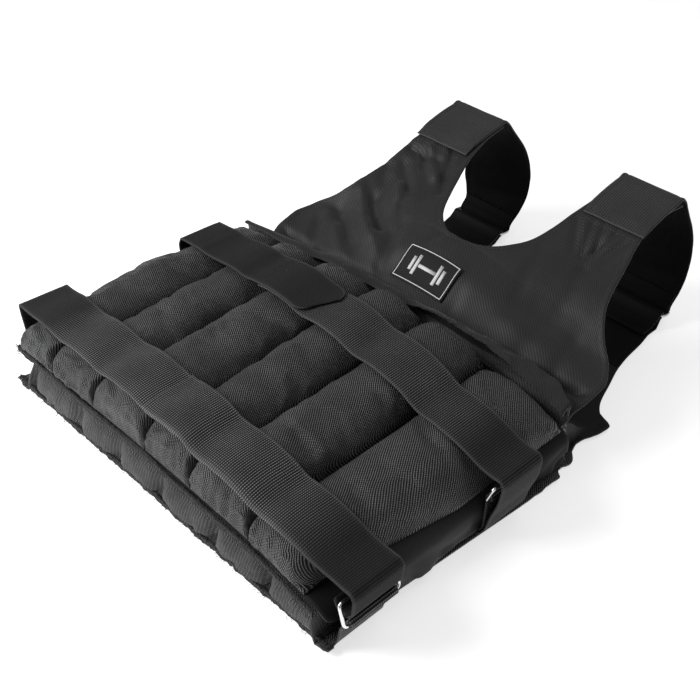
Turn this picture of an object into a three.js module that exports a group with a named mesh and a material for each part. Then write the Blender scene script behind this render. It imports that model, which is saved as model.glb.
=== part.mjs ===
// A weighted vest lying on its back: twelve filled pockets on two cloth panels, a rising bib,
// two shoulder loops and two webbing belts that close over the front.
// Millimetres: x across the vest, y from the hem to the shoulders, z up from the floor.
import * as THREE from "three";

// Outline of the cloth
const hemWidth = 386; // back hem, corner to corner
const bodyLength = 284; // hem to the seam under the bib
const bibLength = 220; // that seam to the crest of the shoulders
const shoulderHeight = 148; // crest of the shoulders over the floor
const backLength = 528; // hem to the ends of the back's shoulder tongues
const tongueWidth = 66; // each shoulder tongue, and the strap on it
const neckWidth = 142; // between the two tongues

// Thicknesses and clearances
const clothWall = 2.2;
const webWall = 1.6;
const strapWall = 3;
const clearance = 0.35; // between two pieces that touch
const beltClearance = 0.7; // webbing over the rounded pockets

// Filled pockets
const backFill = 31; // height of a back pocket, pressed flat on the floor
const frontFill = 36; // height of a full front pocket
const pocketGap = 0.5; // between two neighbours
const torsoGap = 3; // room between the two panels at the sides
const torsoDome = 9; // how much more there is in the middle
const hemSetback = 8; // front hem, behind the back hem
const hemRoll = 12; // height of a hem binding
const hemWall = 3.2;

// Belts, rings and label
const beltWidth = 50;
const ringWire = 1.4; // radius of the wire
const ringBend = 4; // corner radius of a ring
const labelWidth = 62;
const labelHeight = 38;
const labelWall = 0.9;

const halfHem = hemWidth / 2;
const halfNeck = neckWidth / 2;
const tongueMid = halfNeck + tongueWidth / 2;
const backTop = backFill + clearance + clothWall;
const frontBase = backTop + torsoGap;

// Front pockets from the left: seams at the hem and at the bib as shares of half the hem width,
// fill as a share of frontFill, near the hem and near the bib.
const frontPockets = [
  { hemFrom: -1.02, hemTo: -0.746, topFrom: -1.07, topTo: -0.79, hemFill: 0.84, topFill: 0.92 },
  { hemFrom: -0.746, hemTo: -0.435, topFrom: -0.79, topTo: -0.48, hemFill: 0.86, topFill: 0.95 },
  { hemFrom: -0.435, hemTo: -0.08, topFrom: -0.48, topTo: -0.12, hemFill: 0.93, topFill: 1.02 },
  { hemFrom: -0.08, hemTo: 0.212, topFrom: -0.12, topTo: 0.2, hemFill: 0.95, topFill: 1.05 },
  { hemFrom: 0.212, hemTo: 0.565, topFrom: 0.2, topTo: 0.56, hemFill: 0.97, topFill: 1.03 },
  { hemFrom: 0.565, hemTo: 0.92, topFrom: 0.56, topTo: 0.985, hemFill: 0.9, topFill: 0.85 },
];

// Back pockets: their seams across the hem, as shares of half its width.
const backPockets = [
  { from: -0.93, to: -0.62 },
  { from: -0.62, to: -0.31 },
  { from: -0.31, to: 0 },
  { from: 0, to: 0.31 },
  { from: 0.31, to: 0.62 },
  { from: 0.62, to: 0.93 },
];

// Rise of the front along its length: y as a share of bodyLength, dome as a share of torsoDome.
const frontRise = [
  { at: 0, dome: 0.1 },
  { at: 0.1, dome: 0.7 },
  { at: 0.45, dome: 1 },
  { at: 0.85, dome: 1.9 },
  { at: 1, dome: 2.2 },
];

// A pocket's fill from its hem end (0) to its mouth (1), as a share of its full height.
const pocketEnds = [
  { at: 0, fill: 0.3 },
  { at: 0.012, fill: 0.72 },
  { at: 0.045, fill: 0.94 },
  { at: 0.12, fill: 1 },
  { at: 0.5, fill: 0.98 },
  { at: 0.84, fill: 1 },
  { at: 0.93, fill: 0.9 },
  { at: 1, fill: 0.45 },
];

// The bib: y as a share of bibLength, height of its middle and of its sides as shares of
// shoulderHeight, outer edge as a share of half the hem width, inner edge of half the neck width.
const bibRows = [
  { at: 0, mid: 0.39, side: 0.26, outer: 0.96, inner: 0.17 },
  { at: 0.04, mid: 0.44, side: 0.33, outer: 0.975, inner: 0.17 },
  { at: 0.1, mid: 0.49, side: 0.37, outer: 0.99, inner: 0.17 },
  { at: 0.2, mid: 0.63, side: 0.41, outer: 0.995, inner: 0.17 },
  { at: 0.29, mid: 0.69, side: 0.465, outer: 0.94, inner: 0.17 },
  { at: 0.34, mid: 0.715, side: 0.53, outer: 0.87, inner: 0.17 },
  { at: 0.39, mid: 0.735, side: 0.605, outer: 0.815, inner: 0.42 },
  { at: 0.44, mid: 0.75, side: 0.66, outer: 0.78, inner: 0.56 },
  { at: 0.52, mid: 0.765, side: 0.72, outer: 0.752, inner: 0.7 },
  { at: 0.61, mid: 0.815, side: 0.79, outer: 0.73, inner: 0.81 },
  { at: 0.71, mid: 0.88, side: 0.88, outer: 0.705, inner: 0.9 },
  { at: 0.82, mid: 0.935, side: 0.94, outer: 0.69, inner: 0.97 },
  { at: 0.92, mid: 0.975, side: 0.98, outer: 0.7, inner: 1 },
  { at: 1, mid: 1, side: 1, outer: 0.72, inner: 1 },
];

// The back: y as a share of backLength, outer and inner edge as in the bib.
const backRows = [
  { at: 0.033, outer: 0.985, inner: 0.2 },
  { at: 0.2, outer: 1.005, inner: 0.2 },
  { at: 0.36, outer: 1.03, inner: 0.2 },
  { at: 0.5, outer: 1.055, inner: 0.2 },
  { at: 0.55, outer: 1.03, inner: 0.2 },
  { at: 0.62, outer: 1.01, inner: 0.2 },
  { at: 0.66, outer: 0.985, inner: 0.2 },
  { at: 0.69, outer: 0.92, inner: 0.2 },
  { at: 0.74, outer: 0.86, inner: 0.2 },
  { at: 0.8, outer: 0.8, inner: 0.2 },
  { at: 0.83, outer: 0.775, inner: 0.6 },
  { at: 0.87, outer: 0.755, inner: 0.86 },
  { at: 0.92, outer: 0.74, inner: 0.97 },
  { at: 0.96, outer: 0.72, inner: 1 },
];

// Hem of the front: x as a share of half the hem width, height of the binding's middle as a
// share of frontBase, distance behind the back hem as a share of hemSetback.
const hemRows = [
  { at: -1.05, rise: 1.08, back: 1 },
  { at: -0.65, rise: 1.02, back: 1 },
  { at: -0.4, rise: 1.03, back: 1 },
  { at: 0.05, rise: 1.05, back: 1 },
  { at: 0.2, rise: 0.98, back: 1 },
  { at: 0.56, rise: 0.98, back: 0.85 },
  { at: 0.95, rise: 0.86, back: 0.3 },
];

// A shoulder strap seen from the side, from its seam on the bib over the crest to its ring:
// y beyond the crest as a share of tongueWidth, z as a share of shoulderHeight.
const strapRows = [
  { out: 0.03, rise: 1.012 },
  { out: 0.14, rise: 0.985 },
  { out: 0.27, rise: 0.91 },
  { out: 0.43, rise: 0.8 },
  { out: 0.6, rise: 0.67 },
  { out: 0.75, rise: 0.54 },
  { out: 0.83, rise: 0.41 },
  { out: 0.84, rise: 0.28 },
  { out: 0.78, rise: 0.18 },
];

// The two belts: middle of the band at x = 0 as a share of bodyLength, its slant, where its two
// pieces end and which lies on top; the two bars of its ring and the fold round the upper bar,
// x as shares of half the hem width and z as shares of backTop. A belt with no fold is sewn to
// the back, with its ring lying loose behind it.
const belts = [
  {
    name: "lower",
    middle: 0.137,
    slant: -0.033,
    leftEnd: 0.08,
    rightEnd: -0.14,
    leftOnTop: false,
    fold: { x: 1.06, z: 1.6, radius: 8.5 },
    ring: { topX: 1.05, topZ: 1.66, lowX: 1.085, lowZ: 1.12 },
  },
  {
    name: "upper",
    middle: 0.72,
    slant: -0.075,
    leftEnd: -0.1,
    rightEnd: -0.45,
    leftOnTop: true,
    fold: null,
    ring: { topX: 1.072, topZ: 1.84, lowX: 1.045, lowZ: 1.36 },
  },
];

const colours = {
  cloth: new THREE.Color(0x1b1b1c),
  pocket: new THREE.Color(0x222223),
  web: new THREE.Color(0x161617),
  label: new THREE.Color(0x101011),
  steel: new THREE.Color(0xc9cbce),
};

function lerp(a, b, t) {
  return a + (b - a) * t;
}

// Value of one column of a table at a station, on a straight line between its rows.
function column(rows, key, at) {
  const last = rows.length - 1;
  let i = 0;
  while (i < last - 1 && rows[i + 1].at < at) i += 1;
  const t = THREE.MathUtils.clamp((at - rows[i].at) / (rows[i + 1].at - rows[i].at), 0, 1);
  return lerp(rows[i][key], rows[i + 1][key], t);
}

function grid(stations, steps, place) {
  return stations.map((v) => steps.map((u) => place(u, v)));
}

function evenly(count, from = 0, to = 1) {
  return Array.from({ length: count + 1 }, (_, i) => lerp(from, to, i / count));
}

// One closed body between an upper and a lower grid of points. keep(row, column) says which
// cells are cloth; the walls stand along every free edge.
function bodyBetween(upper, lower, keep = () => true) {
  const rows = upper.length;
  const cols = upper[0].length;
  const points = [...upper.flat(), ...lower.flat()];
  const top = (i, j) => i * cols + j;
  const bottom = (i, j) => rows * cols + i * cols + j;
  const filled = (i, j) => i >= 0 && j >= 0 && i < rows - 1 && j < cols - 1 && keep(i, j);
  const faces = [];
  const quad = (a, b, c, d) => faces.push(a, b, c, a, c, d);
  for (let i = 0; i < rows - 1; i += 1) {
    for (let j = 0; j < cols - 1; j += 1) {
      if (!filled(i, j)) continue;
      quad(top(i, j), top(i, j + 1), top(i + 1, j + 1), top(i + 1, j));
      quad(bottom(i, j), bottom(i + 1, j), bottom(i + 1, j + 1), bottom(i, j + 1));
      if (!filled(i - 1, j)) quad(bottom(i, j), bottom(i, j + 1), top(i, j + 1), top(i, j));
      if (!filled(i + 1, j)) quad(bottom(i + 1, j + 1), bottom(i + 1, j), top(i + 1, j), top(i + 1, j + 1));
      if (!filled(i, j - 1)) quad(bottom(i + 1, j), bottom(i, j), top(i, j), top(i + 1, j));
      if (!filled(i, j + 1)) quad(bottom(i, j + 1), bottom(i + 1, j + 1), top(i + 1, j + 1), top(i, j + 1));
    }
  }
  return facedOut(points, faces);
}

// Geometry from points and triangles, turned round if its faces point inwards.
function facedOut(points, faces) {
  let volume = 0;
  for (let i = 0; i < faces.length; i += 3) {
    const [a, b, c] = [points[faces[i]], points[faces[i + 1]], points[faces[i + 2]]];
    volume += a.dot(new THREE.Vector3().crossVectors(b, c));
  }
  const used = [...new Set(faces)];
  const place = new Map(used.map((from, to) => [from, to]));
  const index = faces.map((from) => place.get(from));
  if (volume < 0) index.reverse();
  const geometry = new THREE.BufferGeometry();
  geometry.setAttribute(
    "position",
    new THREE.Float32BufferAttribute(used.flatMap((i) => points[i].toArray()), 3),
  );
  geometry.setIndex(index);
  return geometry;
}

// A cloth of even thickness about the grid of its middle surface.
function cloth(middle, wall, keep) {
  const rows = middle.length;
  const cols = middle[0].length;
  const offset = (side) =>
    middle.map((row, i) =>
      row.map((point, j) => {
        const along = new THREE.Vector3().subVectors(
          middle[Math.min(i + 1, rows - 1)][j],
          middle[Math.max(i - 1, 0)][j],
        );
        const across = new THREE.Vector3().subVectors(
          middle[i][Math.min(j + 1, cols - 1)],
          middle[i][Math.max(j - 1, 0)],
        );
        const normal = across.cross(along).normalize();
        return point.clone().addScaledVector(normal, (side * wall) / 2);
      }),
    );
  return bodyBetween(offset(1), offset(-1), keep);
}

// Points on an arc about a centre, angles in degrees.
function arc(centre, radius, from, to, count) {
  return evenly(count, from, to).map((degrees) => {
    const angle = THREE.MathUtils.degToRad(degrees);
    return { a: centre.a + radius * Math.cos(angle), z: centre.z + radius * Math.sin(angle) };
  });
}

const vest = new THREE.Group();
const sides = [
  { name: "left", side: -1 },
  { name: "right", side: 1 },
];

function add(name, geometry, colour, roughness = 0.9, metalness = 0) {
  const material = new THREE.MeshStandardMaterial({ color: colours[colour], roughness, metalness });
  const mesh = new THREE.Mesh(geometry, material);
  mesh.name = name;
  vest.add(mesh);
}

// Underside of the front panel: domed across, rising towards the bib.
function frontUnder(x, y) {
  const across = 1 - THREE.MathUtils.clamp(x / halfHem, -1, 1) ** 2;
  return frontBase + torsoDome * across * column(frontRise, "dome", y / bodyLength);
}

function frontOver(x, y) {
  return frontUnder(x, y) + clothWall + clearance;
}

// Edges of a front pocket at a share v of its length.
function pocketEdges(pocket, v) {
  const half = pocketGap / 2;
  const from = lerp(pocket.hemFrom, pocket.topFrom, Math.min(1, v * 2)) * halfHem;
  const to = lerp(pocket.hemTo, pocket.topTo, Math.min(1, v * 2)) * halfHem;
  return [from + half, to - half];
}

const pocketEnd = bodyLength - hemSetback;

// Where the front's hem lies at x, behind the hem of the back.
function hemLine(x) {
  return hemSetback * column(hemRows, "back", x / halfHem);
}

// Top of the front pocket at x and y, or the panel where there is none.
function pocketTop(x, y) {
  const start = hemLine(x);
  const v = THREE.MathUtils.clamp((y - start) / (pocketEnd - start), 0, 1);
  const under = frontOver(x, y);
  const pocket = frontPockets.find((p) => {
    const [from, to] = pocketEdges(p, v);
    return x >= from && x <= to;
  });
  if (!pocket || y > pocketEnd + clearance) return under;
  const [from, to] = pocketEdges(pocket, v);
  const u = (2 * (x - from)) / (to - from) - 1;
  const full = frontFill * lerp(pocket.hemFill, pocket.topFill, v) * column(pocketEnds, "fill", v);
  return under + full * (0.12 + 0.88 * (1 - Math.abs(u) ** 2.6) ** 0.5);
}

// Back panel: over the pockets, down at the hem and at the sides, flat on the floor at the yoke.
const backRest = clothWall / 2 + clearance;
const hemDepth = hemSetback * 1.9; // from the hem to the pockets of the back

function backOver(y) {
  const yoke = THREE.MathUtils.smoothstep(y, bodyLength * 1.02, bodyLength * 1.2);
  return lerp(backTop - clothWall / 2, backRest, yoke);
}

// The end of the back where its cloth comes down over the pockets: y as a share of hemDepth,
// height as a share of backTop.
const backHem = [
  { in: 0.46, rise: 0.2 },
  { in: 0.53, rise: 0.5 },
  { in: 0.63, rise: 0.8 },
  { in: 0.82, rise: 0.955 },
];

// Half of a panel's columns, from its inner edge out: up to the step beside the pockets, down it,
// and to the outer edge.
const pocketSide = 0.935;
const columnShares = [0, 0.15, 0.32, 0.5, 0.7, 0.86, 1];

function halfRow(inner, outer, top, rest) {
  const step = outer * halfHem > pocketSide * halfHem ? pocketSide * halfHem : outer * halfHem * 0.95;
  const foot = lerp(step, outer * halfHem, 0.3);
  const line = columnShares.map((t) => ({ x: lerp(inner, step, t), z: top }));
  return [...line, { x: foot, z: rest }, { x: outer * halfHem, z: rest }];
}

function mirrored(half, y) {
  const point = (side) => (p) => new THREE.Vector3(side * p.x, p.y ?? y, p.z);
  return [...half.map(point(-1)).reverse(), ...half.map(point(1))];
}

// Tongues of the back end in a fold round the near bar of their ring.
const ringCentre = { a: backLength + 8, z: 12 };
const ringHalf = 6; // half of a shoulder ring's depth
const backFold = [
  { a: backLength - 9, z: backRest + 1.2 },
  ...arc({ a: ringCentre.a - ringHalf, z: ringCentre.z }, ringWire + clearance + clothWall / 2 + 0.3, -100, 150, 7),
];
const backHemRows = backHem.map((p) => {
  const z = p.rise * backTop;
  return mirrored(halfRow(backRows[0].inner * halfNeck, backRows[0].outer, z, Math.min(z, backRest)), p.in * hemDepth);
});
const backBody = backRows.map((row) => {
  const y = row.at * backLength;
  const top = backOver(y);
  return mirrored(halfRow(row.inner * halfNeck, row.outer, top, backRest), y);
});
const tongueEdge = (halfNeck + tongueWidth) / halfHem;
const backTongues = backFold.map((p) => mirrored(halfRow(halfNeck, tongueEdge, p.z, p.z), p.a));
const backMiddle = [...backHemRows, ...backBody, ...backTongues];
const neckRow = backHem.length + backRows.findIndex((row) => row.inner > 0.3) - 1;
const centreColumn = columnShares.length + 1;
add("back_panel", cloth(backMiddle, clothWall, (i, j) => j !== centreColumn || i < neckRow), "cloth");

// Back pockets, pressed flat on the floor.
backPockets.forEach((pocket, k) => {
  const from = pocket.from * halfHem + pocketGap / 2;
  const to = pocket.to * halfHem - pocketGap / 2;
  const across = [-1, -0.86, -0.6, 0, 0.6, 0.86, 1];
  const along = [0, 0.03, 0.09, 0.35, 0.65, 0.91, 0.97, 1];
  const rounding = (t) => (1 - THREE.MathUtils.clamp(t, 0, 1) ** 2) ** 0.5;
  const swell = (u, v) => {
    const ends = rounding((Math.abs(2 * v - 1) - 0.82) / 0.18);
    return 0.2 + 0.8 * rounding((Math.abs(u) - 0.6) / 0.4) * ends;
  };
  const point = (u, v, z) => {
    const y = lerp(hemDepth + clearance, bodyLength, v);
    return new THREE.Vector3(lerp(from, to, (u + 1) / 2), y, z);
  };
  const upper = grid(along, across, (u, v) => point(u, v, backFill));
  const lower = grid(along, across, (u, v) => point(u, v, backFill * (1 - swell(u, v))));
  add(`back_pocket_${k + 1}`, bodyBetween(upper, lower), "pocket");
});

// Front panel with its side margins hanging over the edge of the back.
const marginRows = [
  { out: 1.025, rise: 0.25 },
  { out: 1.02, rise: 0.55 },
  { out: 1.01, rise: 0.86 },
];
const panelSteps = evenly(10, -0.985, 0.985).map((share) => ({ share }));
const frontAcross = [
  ...marginRows.map((m) => ({ share: -m.out, rise: m.rise })),
  ...panelSteps,
  ...[...marginRows].reverse().map((m) => ({ share: m.out, rise: m.rise })),
];
const frontMiddle = grid([0, 0.03, 0.1, 0.25, 0.4, 0.55, 0.7, 0.85, 1], frontAcross, (step, v) => {
  const x = step.share * halfHem;
  const y = lerp(hemLine(x), bodyLength - clothWall / 2, v);
  const height = step.rise ? step.rise * frontBase : frontUnder(x, y) + clothWall / 2;
  return new THREE.Vector3(x, y, height);
});
add("front_panel", cloth(frontMiddle, clothWall), "cloth");

// Front pockets, six filled tubes from the hem to the bib.
frontPockets.forEach((pocket, k) => {
  const across = [-1, -0.93, -0.75, -0.45, 0, 0.45, 0.75, 0.93, 1];
  const along = pocketEnds.map((row) => row.at);
  const point = (u, v, height) => {
    const [from, to] = pocketEdges(pocket, v);
    const x = lerp(from, to, (u * 0.9999 + 1) / 2);
    const y = lerp(hemLine(x), pocketEnd, v);
    return new THREE.Vector3(x, y, height(x, y));
  };
  const upper = grid(along, across, (u, v) => point(u, v, pocketTop));
  const lower = grid(along, across, (u, v) => point(u, v, (x, y) => frontOver(x, y) + clearance));
  add(`front_pocket_${k + 1}`, bodyBetween(upper, lower), "pocket");
});

// Stitched bindings along the two hems.
function hemBinding(name, from, to, place) {
  const middle = grid([0, 0.5, 1], evenly(18, from, to), (share, v) => {
    const at = place(share * halfHem, v);
    return new THREE.Vector3(share * halfHem, at.y, at.z);
  });
  add(name, cloth(middle, hemWall), "web");
}
const hemOut = hemWall / 2 + clearance;
hemBinding("front_hem_binding", -1.02, 0.95, (x, v) => ({
  y: hemLine(x) - hemOut - clearance,
  z: column(hemRows, "rise", x / halfHem) * frontBase + (v - 0.5) * hemRoll,
}));
hemBinding("back_hem_binding", -1, 1, (x, v) => ({
  y: backHem[0].in * hemDepth - clothWall / 2 - hemOut - (1 - v) * clothWall,
  z: clearance + v * hemRoll,
}));

// The bib with its two shoulder tongues. It starts level with the end of the front panel.
function bibHeight(x, at) {
  const share = THREE.MathUtils.smoothstep(Math.abs(x), 0, column(bibRows, "outer", at) * halfHem);
  const sewn = 1 - THREE.MathUtils.smoothstep(at, 0, bibRows[1].at);
  const free = shoulderHeight * lerp(column(bibRows, "mid", at), column(bibRows, "side", at), share);
  return lerp(free, frontUnder(x, bodyLength) + clothWall / 2, sewn);
}
const bibShares = evenly(8);
const bibMiddle = bibRows.map((row) => {
  const line = bibShares.map((t) => {
    const x = lerp(row.inner * halfNeck, row.outer * halfHem, t);
    return { x, z: bibHeight(x, row.at) };
  });
  return mirrored(line, bodyLength + clothWall / 2 + row.at * bibLength);
});
const neckStart = bibRows.findIndex((row) => row.inner > 0.3) - 1;
add("front_bib", cloth(bibMiddle, clothWall, (i, j) => j !== bibShares.length - 1 || i < neckStart), "cloth");

// Lip of the bib over the mouths of the pockets: x as a share of half the hem width, its depth
// in y as a share of bodyLength, heights of its free edge and of its sewn edge.
const lipRows = [
  { at: -1.1, depth: 0.012, edge: 0.4, sewn: 0.385 },
  { at: -0.7, depth: 0.026, edge: 0.425, sewn: 0.43 },
  { at: -0.36, depth: 0.03, edge: 0.48, sewn: 0.48 },
  { at: 0, depth: 0.033, edge: 0.49, sewn: 0.49 },
  { at: 0.24, depth: 0.035, edge: 0.56, sewn: 0.505 },
  { at: 0.45, depth: 0.04, edge: 0.56, sewn: 0.51 },
  { at: 0.6, depth: 0.05, edge: 0.53, sewn: 0.5 },
  { at: 0.77, depth: 0.065, edge: 0.46, sewn: 0.46 },
  { at: 0.97, depth: 0.07, edge: 0.365, sewn: 0.42 },
];
const lipSteps = [0, 0.3, 0.65, 1];
const lipStart = pocketEnd + clearance * 3;
function lipPoint(u, at) {
  const x = at * halfHem;
  const y = lipStart + u * (bodyLength * column(lipRows, "depth", at) + hemSetback / 2);
  const share = (y - bodyLength) / bibLength;
  const base = share > 0 ? bibHeight(x, share) + clothWall : frontUnder(x, y) + clothWall;
  const top = shoulderHeight * lerp(column(lipRows, "edge", at), column(lipRows, "sewn", at), u);
  const under = base + clearance * 4;
  return { upper: new THREE.Vector3(x, y, Math.max(top, under + clothWall)), lower: new THREE.Vector3(x, y, under) };
}
const lipStations = evenly(20, lipRows[0].at, lipRows.at(-1).at);
add(
  "front_lip",
  bodyBetween(
    grid(lipStations, lipSteps, (u, at) => lipPoint(u, at).upper),
    grid(lipStations, lipSteps, (u, at) => lipPoint(u, at).lower),
  ),
  "cloth",
);

// Shoulder straps: sewn on the tongues of the bib, looped back to the rings behind.
const strapSeam = 0.74; // start of the strap on the bib, as a share of bibLength
const crestY = bodyLength + bibLength;
const strapLift = (clothWall + strapWall) / 2 + clearance * 2.5;
const strapFold = ringWire + clearance + strapWall / 2 + 0.3;
for (const { name, side } of sides) {
  const onBib = evenly(5, strapSeam, 1).map((at) => ({
    y: bodyLength + at * bibLength,
    z: bibHeight(tongueMid, at) + strapLift,
  }));
  const behind = strapRows.map((row) => ({
    y: crestY + row.out * tongueWidth,
    z: row.rise * shoulderHeight + strapLift,
  }));
  const bar = { a: ringCentre.a + ringHalf, z: ringCentre.z };
  const fold = arc(bar, strapFold, 30, -200, 8).map((p) => ({ y: p.a, z: p.z }));
  const path = [...onBib, ...behind, ...fold];
  const middle = grid(path, [-0.5, 0, 0.5], (u, p) => {
    return new THREE.Vector3(side * tongueMid + u * tongueWidth, p.y, p.z);
  });
  add(`shoulder_strap_${name}`, cloth(middle, strapWall), "cloth");
}

// A ring: a rounded rectangle of wire through four corners, centred on its own origin.
function addRing(name, corners) {
  const centre = corners.reduce((sum, c) => sum.add(c), new THREE.Vector3()).divideScalar(4);
  const line = corners.flatMap((corner, i) => {
    const before = corners[(i + 3) % 4].clone().sub(corner).setLength(ringBend);
    const after = corners[(i + 1) % 4].clone().sub(corner).setLength(ringBend);
    const bend = [corner.clone().add(before), corner, corner.clone().add(after)];
    return new THREE.QuadraticBezierCurve3(...bend).getPoints(3);
  });
  const normal = new THREE.Vector3()
    .crossVectors(corners[1].clone().sub(corners[0]), corners[3].clone().sub(corners[0]))
    .normalize();
  const wireSides = 6;
  const points = line.flatMap((point, i) => {
    const ahead = line[(i + 1) % line.length].clone().sub(line.at(i - 1)).normalize();
    const out = new THREE.Vector3().crossVectors(ahead, normal).normalize();
    return evenly(wireSides - 1, 0, ((wireSides - 1) / wireSides) * 2 * Math.PI).map((angle) => {
      const rim = out.clone().multiplyScalar(Math.cos(angle)).addScaledVector(normal, Math.sin(angle));
      return point.clone().addScaledVector(rim, ringWire).sub(centre);
    });
  });
  const faces = line.flatMap((_, i) => {
    const j = (i + 1) % line.length;
    return evenly(wireSides - 1, 0, wireSides - 1).flatMap((k) => {
      const m = (k + 1) % wireSides;
      const [a, b] = [i * wireSides, j * wireSides];
      return [a + k, b + k, b + m, a + k, b + m, a + m];
    });
  });
  add(name, facedOut(points, faces), "steel", 0.25, 1);
  vest.children.at(-1).position.copy(centre);
}

for (const { name, side } of sides) {
  const half = tongueWidth / 2 + ringWire + clearance * 2;
  const corner = (x, y) => new THREE.Vector3(side * tongueMid + x * half, y, ringCentre.z);
  const near = ringCentre.a - ringHalf;
  const far = ringCentre.a + ringHalf;
  addRing(`shoulder_ring_${name}`, [corner(-1, near), corner(1, near), corner(1, far), corner(-1, far)]);
}

// Height of the webbing at x and y: it bridges the grooves between the pockets and stays level
// over the two outer edges.
const webStiffness = 0.009;
function webHeight(x, y) {
  const heights = evenly(20, -30, 30).flatMap((reach) => {
    const sag = webStiffness * reach ** 2;
    return [-5, 0, 5].map((beside) => pocketTop(x + reach, y + beside) - sag);
  });
  return Math.max(backTop * 2, ...heights) + beltClearance + webWall / 2;
}

const beltSteps = [-0.5, -0.25, 0, 0.25, 0.5];
const beltPitch = halfHem / 22;
const tabWidth = beltWidth * 0.94;
const marginTop = backRest + clothWall / 2 + clearance + webWall / 2;
const beltEdge = 23 * beltPitch;
const beltSide = halfHem * 1.105;

// Stations along a belt on the pockets, on one common pitch, so that two layers stay parallel.
function beltRun(from, to) {
  const first = Math.round(from / beltPitch);
  const last = Math.round(to / beltPitch);
  return evenly(last - first, first, last).map((n) => ({ x: n * beltPitch, lift: 0 }));
}

for (const belt of belts) {
  const line = (x) => belt.middle * bodyLength + belt.slant * x;
  // One point of a band: on the pockets, lifted where it lies on the other piece, or beside them.
  const place = (u, p) => {
    const y = line(p.x) + u * (p.width ?? beltWidth);
    return new THREE.Vector3(p.x, y, p.z ?? webHeight(p.x, y) + p.lift);
  };
  const overlapFrom = belt.rightEnd * halfHem;
  const overlapTo = belt.leftEnd * halfHem;
  const raised = (p) => {
    const enter = THREE.MathUtils.smoothstep(p.x, overlapFrom - beltPitch * 2.5, overlapFrom - beltPitch * 0.6);
    const leave = THREE.MathUtils.smoothstep(p.x, overlapTo + beltPitch * 0.6, overlapTo + beltPitch * 2.5);
    return { x: p.x, lift: (webWall + clearance * 1.5) * (enter - leave) };
  };

  // Left piece, from the side of the back over the edge of the front to its end.
  const leftSide = [
    { x: -halfHem * 0.975, z: marginTop },
    { x: -halfHem * 1.055, z: marginTop },
    { x: -halfHem * 1.085, z: backTop * 0.3 },
    { x: -halfHem * 1.1, z: backTop * 0.8 },
    { x: -beltSide, z: backTop * 1.45 },
    { x: -halfHem * 1.09, z: backTop * 1.85 },
  ];
  const leftRun = beltRun(-beltEdge, overlapTo);
  const left = [...leftSide, ...(belt.leftOnTop ? leftRun.map(raised) : leftRun)];
  add(`${belt.name}_belt_left`, cloth(grid(left, beltSteps, place), webWall), "web");

  // Right piece, over the other edge, then folded round its ring or down to the back.
  const rightSide = [
    { x: halfHem * 1.085, z: backTop * 2.06 },
    { x: beltSide, z: backTop * 1.9 },
  ];
  if (belt.fold) {
    const centre = { a: belt.fold.x * halfHem, z: belt.fold.z * backTop };
    const fold = arc(centre, belt.fold.radius, 5, -185, 8);
    rightSide.push(...fold.map((p) => ({ x: p.a, z: p.z })));
  } else {
    rightSide.push(
      { x: halfHem * 1.098, z: backTop * 1.45 },
      { x: halfHem * 1.07, z: backTop * 0.85 },
      { x: halfHem * 1.057, z: backTop * 0.35 },
      { x: halfHem * 1.053, z: marginTop },
      { x: halfHem * 0.98, z: marginTop },
    );
  }
  const rightRun = beltRun(overlapFrom, beltEdge);
  const right = [...(belt.leftOnTop ? rightRun : rightRun.map(raised)), ...rightSide];
  add(`${belt.name}_belt_right`, cloth(grid(right, beltSteps, place), webWall), "web");

  // Its ring, and the tab that holds the ring's lower bar to the side of the back.
  const bars = [
    { x: belt.ring.topX * halfHem, z: belt.ring.topZ * backTop },
    { x: belt.ring.lowX * halfHem, z: belt.ring.lowZ * backTop },
  ];
  const half = beltWidth / 2 + ringWire + clearance * 2;
  const corner = (p, s) => new THREE.Vector3(p.x, line(p.x) + s * half, p.z);
  addRing(`${belt.name}_belt_ring`, [
    corner(bars[0], -1),
    corner(bars[0], 1),
    corner(bars[1], 1),
    corner(bars[1], -1),
  ]);
  const tabFold = ringWire + clearance + webWall / 2;
  const foldStart = { x: bars[1].x - tabFold, z: bars[1].z };
  const tabRest = marginTop + (belt.fold ? 0 : webWall + clearance * 1.5);
  const tab = [
    { x: halfHem * 0.975, z: tabRest },
    { x: halfHem * 1.034, z: tabRest },
    { x: halfHem * 1.0385, z: backTop * 0.28 },
    { x: lerp(halfHem * 1.0385, foldStart.x, 0.2), z: backTop * 0.75 },
    ...arc({ a: bars[1].x, z: bars[1].z }, tabFold, 200, -60, 8).map((p) => ({ x: p.a, z: p.z })),
  ].map((p) => ({ ...p, width: tabWidth }));
  add(`${belt.name}_ring_tab`, cloth(grid(tab, beltSteps, place), webWall), "web");
}

// Label patch on the bib.
const labelAt = 0.153; // its middle, as a share of bibLength
const labelAside = -3; // its middle, from the middle of the bib
const labelMiddle = grid([0, 0.5, 1], [-0.5, -0.25, 0, 0.25, 0.5], (u, v) => {
  const x = labelAside + u * labelWidth;
  const at = labelAt + (v * labelHeight * 0.74) / bibLength;
  const lift = (clothWall + labelWall) / 2 + clearance * 4;
  return new THREE.Vector3(x, bodyLength + at * bibLength, bibHeight(x, at) + lift);
});
add("label_patch", cloth(labelMiddle, labelWall), "label", 0.6);

// The origin is on the floor under the middle of the vest.
const bounds = new THREE.Box3().setFromObject(vest);
const centre = bounds.getCenter(new THREE.Vector3());
vest.position.set(-centre.x, -centre.y, -bounds.min.z);

export default vest;
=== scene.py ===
import math
import bpy
import numpy as np
from mathutils import Matrix, Vector
from mathutils.bvhtree import BVHTree


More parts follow.
